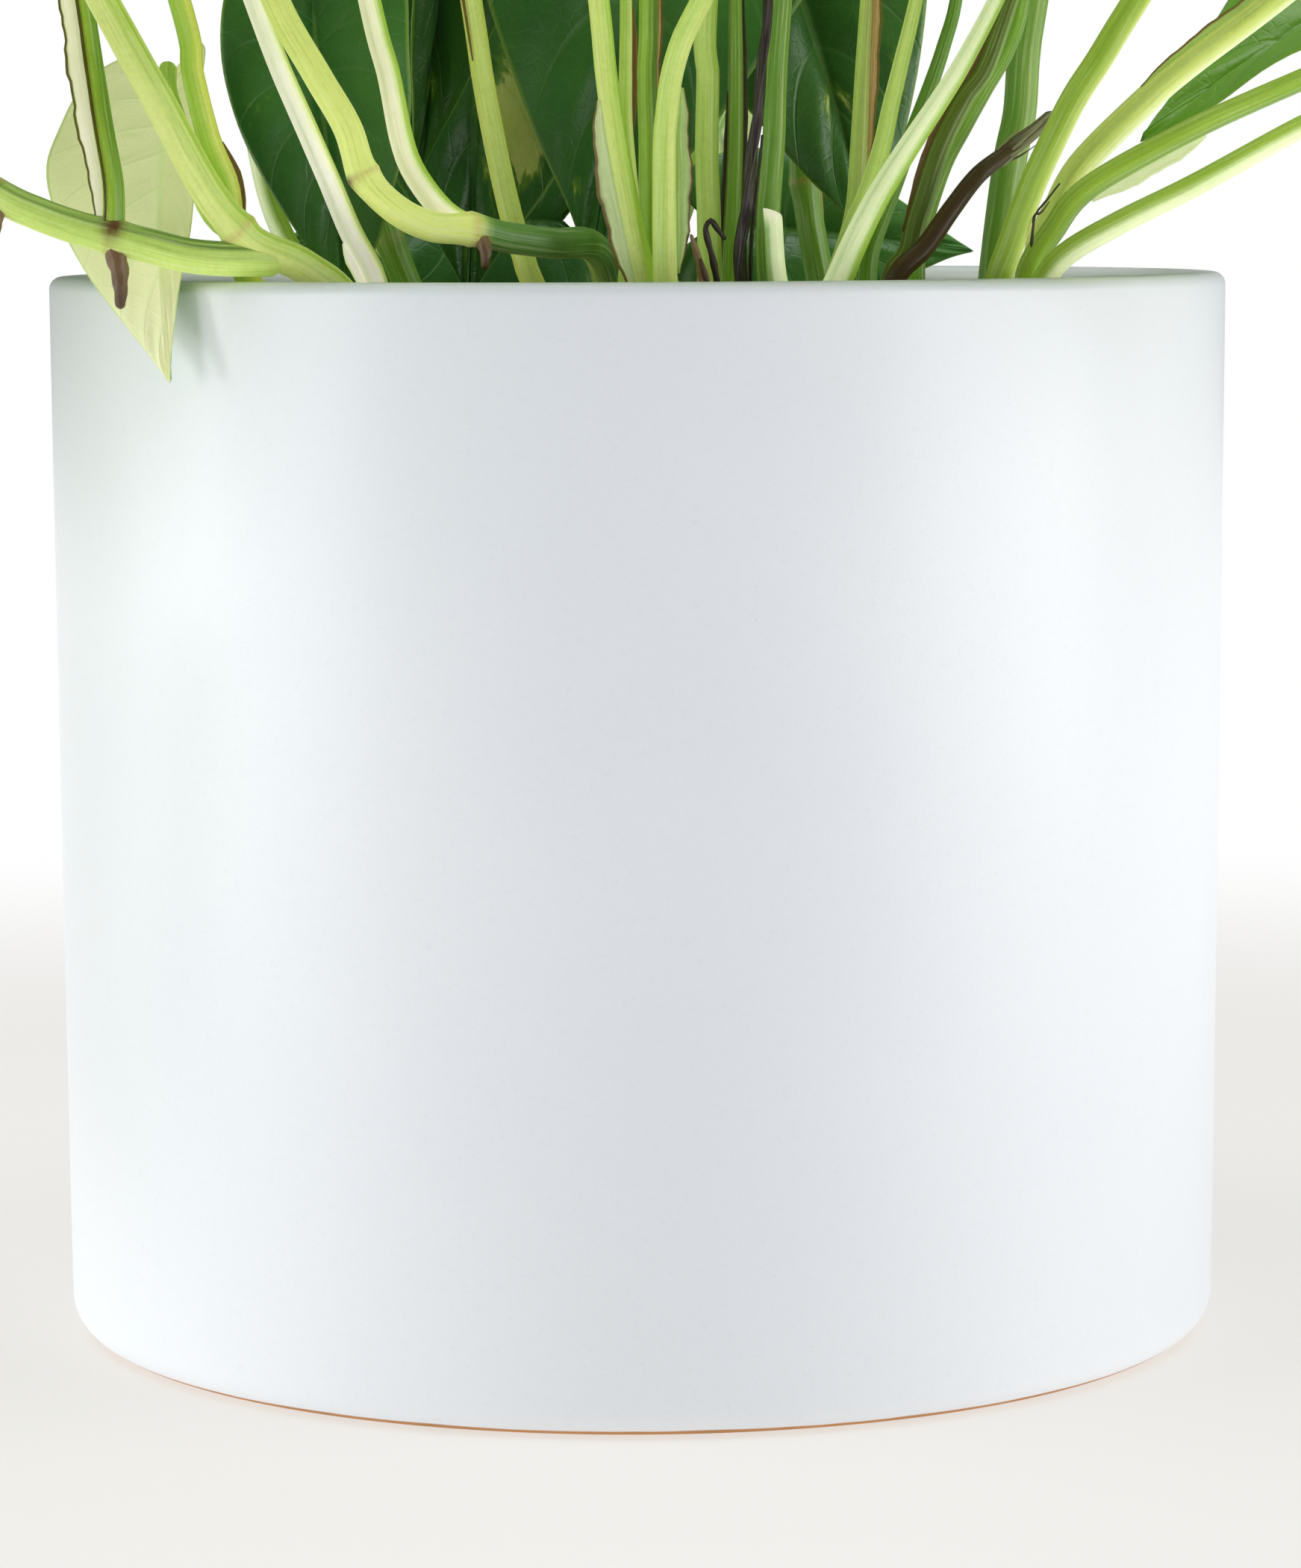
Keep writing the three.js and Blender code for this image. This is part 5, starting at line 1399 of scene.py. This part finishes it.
# Leaf blades
bladeLooks = {
    "rows": 64, "columns": 41, "quilt": 0.005, "ruffle": 0.007, "ruffles": 5.3, "edgeThin": 0.75, "veins": 10,
    "midribDepth": 0.006, "midribReach": 0.05, "goldSpotGain": 1.25,
    "halo": shade(150, 190, 60), "gold": (shade(236, 232, 150), shade(214, 224, 110)),
    "rim": shade(160, 190, 90), "sheen": shade(196, 232, 226),
}
upperSkin = {
    "colours": [shade(54, 106, 46), shade(72, 132, 56), shade(124, 178, 36)],
    "veinColour": shade(128, 172, 92), "gold": 1.0, "roughness": 0.32,
    "veinWidth": 0.075, "net": 0.05, "sides": 0.16, "midrib": 0.6,
    "sideRelief": -0.6, "netRelief": -0.12,
}
# The lower face, with a painted glow: an emission that stands in for light coming through the blade from
# behind
underSkin = {
    "colours": [shade(128, 166, 96), shade(150, 184, 112), shade(226, 224, 180)],
    "veinColour": shade(214, 228, 168), "gold": 0.35, "roughness": 0.48,
    "veinWidth": 0.09, "net": 0.12, "sides": 0.35, "midrib": 0.8,
    "sideRelief": 0.8, "netRelief": 0.15, "glow": 0.38,
}


def bladeMaterial(name, look, shared):
    material, tree, skin = makeMaterial(name)
    veins = groupNode(tree, veinGroup, Count=float(shared["veins"]), Width=look["veinWidth"])
    goldShare, youngGreenAndGlow, pattern = colourParts(tree, storedTint(tree))[:3]
    place = objectPlace(tree)
    cloudy = noise(tree, place, 38.0, 3.0)
    base = blendColours(tree, ramp(tree, cloudy, 0.3, 0.7), look["colours"][0], look["colours"][1])
    base = blendColours(tree, youngGreenAndGlow, base, look["colours"][2])
    # golden streaks run out from the midrib between the side veins
    mark, outward = times(tree, veins["Mark"], 15.0), times(tree, veins["Share"], 1.8)
    streakPlace = joined(tree, mark, outward, times(tree, pattern, 40.0))
    streaks = noise(tree, streakPlace, 1.0, 4.0, 0.62)
    amount = plus(tree, times(tree, goldShare, 0.42), times(tree, noise(tree, place, 30.0, 1.0), 0.16))
    total = plus(tree, streaks, amount)
    golden = times(tree, ramp(tree, total, 0.82, 0.88), look["gold"])
    halo = ramp(tree, total, 0.72, 0.84, 0.0, 0.5 * look["gold"])
    base = blendColours(tree, halo, base, shared["halo"])
    gold = blendColours(tree, noise(tree, place, 420.0, 2.0), *shared["gold"])
    base = blendColours(tree, golden, base, gold)
    for part, strength in (("Net", look["net"]), ("Side Veins", look["sides"]), ("Midrib", look["midrib"])):
        base = blendColours(tree, times(tree, veins[part], strength), base, look["veinColour"])
    base = blendColours(tree, ramp(tree, veins["Share"], 0.965, 0.995, 0.0, 0.6), base, shared["rim"])
    dress(tree, skin, {
        "Base Color": base,
        "Roughness": ramp(tree, cloudy, 0.2, 0.8, look["roughness"] - 0.05, look["roughness"] + 0.07),
        "Subsurface Weight": 0.15, "Subsurface Radius": (0.5, 1.0, 0.2), "Subsurface Scale": 0.0015,
    })
    # painted glow on the lower face, an emission standing in for light through the blade, as strong as the
    # blade is young
    if "glow" in look:
        paintedGlowColour = blendColours(tree, youngGreenAndGlow, black, base)
        dress(tree, skin, {"Emission Color": paintedGlowColour, "Emission Strength": look["glow"]})
    else:
        dress(tree, skin, {"Sheen Weight": 0.22, "Sheen Tint": shared["sheen"]})
    grain = times(tree, grainOf(tree, 1800.0, 2.0), 0.25)
    relief = math2(tree, "MULTIPLY_ADD", veins["Side Veins"], look["sideRelief"], grain)
    addRelief(tree, skin, plus(tree, relief, times(tree, veins["Net"], look["netRelief"])), 0.5, 0.0004)
    return material


# The blade's two faces as one closed ring round it at each row: upper face from edge to edge, then the lower
# face back. Height adds the quilting between the veins and a small ruffle at the edge.
def bladeTube(leaf, look, number):
    columns = look["columns"]
    rows = np.linspace(0, 1, look["rows"] + 1)[1:-1]
    rows = rows - 0.5 * np.sin(fullTurn * rows) / fullTurn * 0.5
    across = np.linspace(-1, 1, columns)
    across = np.sign(across) * np.abs(across) ** 0.9
    ring = np.concatenate([across, across[::-1]])
    upper = np.concatenate([np.ones(columns), -np.ones(columns)])
    along, acrossGrid = np.meshgrid(rows, ring, indexing="ij")
    share = np.abs(acrossGrid)
    mark = along - 0.1 * share ** 1.5
    waves = np.cos(fullTurn * look["veins"] * mark)
    quilt = look["quilt"] * waves * np.sin(math.pi * np.clip(share, 0, 1)) ** 0.7 * -1
    phase = leaf["phase"] * 1.7 + np.sign(acrossGrid) * 0.8
    ripple = np.sin(fullTurn * look["ruffles"] * along + phase)
    ruffle = look["ruffle"] * share ** 3 * ripple * np.sin(math.pi * along)
    midrib = -look["midribDepth"] * bell(share, look["midribReach"])
    half = growth["bladeThickness"] / 2 / leaf["length"]
    lift = upper[None] * half * (1 - look["edgeThin"] * share ** 6) + quilt + ruffle + midrib
    spots = placeBlade(leaf, bladePoints(leaf, along, acrossGrid, lift))
    poles = placeBlade(leaf, bladePoints(leaf, np.array([0.0, 1.0]), np.zeros(2), 0.0))
    tint = np.broadcast_to(np.array(bladeTraits[number]), spots.shape).copy()
    if number in goldSpots:
        x, z, wide, tall = goldSpots[number]
        patch = bell(spots[..., 0] - x, wide) * bell(spots[..., 2] - z, tall)
        tint[..., 0] += look["goldSpotGain"] * patch
    surfaceMap = np.stack([along, acrossGrid * 0.5 + 0.5], -1)
    kinds = np.repeat([0, 1], columns)
    return {"rings": spots, "ends": poles, "map": surfaceMap, "tint": tint, "faceKinds": kinds}


# For each blade: how much gold it carries, how young and light its green is (on the underside also how strong
# its painted glow is), and its own pattern number.
# Drawn for all of them, then set one by one for those that the camera sees best.
traitDraws = rng.beta(1.3, 2.2, len(blades)), rng.beta(1.2, 3.0, len(blades)), rng.uniform(0, 1, len(blades))
bladeTraits = dict(enumerate(zip(*traitDraws)))
bladeTraits.update({
    0: (0.1, 0.9, 0.3), 2: (0.0, 0.0, 0.5), 3: (0.1, 0.1, 0.2), 4: (0.0, 0.0, 0.7), 5: (0.05, 0.0, 0.6),
    6: (0.0, 0.1, 0.4), 7: (0.15, 0.9, 0.8), len(blades) - 2: (0.0, 0.0, 0.1),
    len(blades) - 1: (0.0, 0.1, 0.9),
})
# One golden patch on one blade: its middle x and z, half its width and half its height
goldSpots = {4: (-18.6, 186, 5.2, 10.5)}


def buildBlades(look):
    materials = [bladeMaterial("bladeUpper", upperSkin, look), bladeMaterial("bladeUnder", underSkin, look)]
    for number, leaf in enumerate(blades):
        label = f"{number + 1:02d}"
        buildPiece("blade" + label, [bladeTube(leaf, look, number)], materials, "leaf_" + label)


buildBlades(bladeLooks)
print("blades built")

# Floor, light and background. Each lamp: name, place, size, power and tone.
stageSettings = {
    "floorColour": shade(244, 242, 236), "floorGlow": shade(247, 245, 241), "glowShare": 0.72,
    "floorRadius": 3.0, "floorSides": 96, "floorLevel": -0.0002, "plainUpTo": 0.28, "whiteFrom": 0.62,
    "skyLight": 0.075, "skyTone": shade(176, 200, 255), "lampTarget": (0, 0, 0.12),
    "lamps": [
        ("leftSoftbox", (-0.98, -0.3, 0.26), (0.85, 0.9), 10.4, (0.975, 0.985, 1.0)),
        ("leftEdgeSoftbox", (-0.95, 0.12, 0.22), (0.5, 0.8), 2.6, (0.985, 0.99, 1.0)),
        ("rightSoftbox", (0.97, -0.34, 0.3), (0.86, 0.9), 9.0, (1.0, 0.995, 0.99)),
        ("topSoftbox", (0.0, -0.1, 1.3), (0.9, 0.9), 7.0, (1.0, 0.995, 1.0)),
    ],
}


def mixShaders(tree, share, first, second):
    mixed = addNode(tree, "ShaderNodeMixShader", {0: share})
    tree.links.new(first, mixed.inputs[1])
    tree.links.new(second, mixed.inputs[2])
    return mixed.outputs[0]


def glowing(tree, colour):
    return addNode(tree, "ShaderNodeEmission", {"Color": colour, "Strength": 1.0}).outputs[0]


# A round floor that fades to plain white as it gets further from the middle
def buildFloor(settings):
    sides = settings["floorSides"]
    turn = np.linspace(0, fullTurn, sides + 1)[:-1]
    edge = np.stack([np.cos(turn), np.sin(turn), 0 * turn], -1) * settings["floorRadius"]
    points = np.vstack([np.zeros(3), edge]) + [0, 0, settings["floorLevel"]]
    mesh = bpy.data.meshes.new("floor")
    mesh.from_pydata(points.tolist(), [], [(0, i + 1, (i + 1) % sides + 1) for i in range(sides)])
    floor = bpy.data.objects.new("floor", mesh)
    bpy.context.scene.collection.objects.link(floor)
    material, tree, skin = makeMaterial("paleFloor")
    dress(tree, skin, {"Base Color": settings["floorColour"], "Roughness": 0.7})
    values = {0: objectPlace(tree)}
    fromMiddle = addNode(tree, "ShaderNodeVectorMath", values, operation="LENGTH").outputs["Value"]
    lifted = mixShaders(tree, settings["glowShare"], skin.outputs[0], glowing(tree, settings["floorGlow"]))
    fade = ramp(tree, fromMiddle, settings["plainUpTo"], settings["whiteFrom"])
    surface = mixShaders(tree, fade, lifted, glowing(tree, white))
    tree.links.new(surface, tree.nodes["Material Output"].inputs["Surface"])
    mesh.materials.append(material)


def buildLight(settings):
    for name, place, size, power, tone in settings["lamps"]:
        data = bpy.data.lights.new(name, "AREA")
        data.shape = "RECTANGLE"
        data.size, data.size_y = size
        data.energy = power
        data.color = tone
        light = bpy.data.objects.new(name, data)
        light.location = place
        aim = Vector(settings["lampTarget"]) - Vector(place)
        light.rotation_euler = aim.to_track_quat("-Z", "Y").to_euler()
        bpy.context.scene.collection.objects.link(light)
    world = bpy.data.worlds.new("studio")
    world.use_nodes = True
    bpy.context.scene.world = world
    tree = world.node_tree
    sky = tree.nodes["Background"]
    dress(tree, sky, {"Color": settings["skyTone"], "Strength": settings["skyLight"]})
    seen = addNode(tree, "ShaderNodeBackground", {"Color": white, "Strength": 1.0}).outputs[0]
    cameraRay = addNode(tree, "ShaderNodeLightPath").outputs["Is Camera Ray"]
    surface = mixShaders(tree, cameraRay, sky.outputs[0], seen)
    tree.links.new(surface, tree.nodes["World Output"].inputs["Surface"])


buildFloor(stageSettings)
buildLight(stageSettings)
bpy.context.scene.view_settings.view_transform = "Standard"
print("stage and light set")
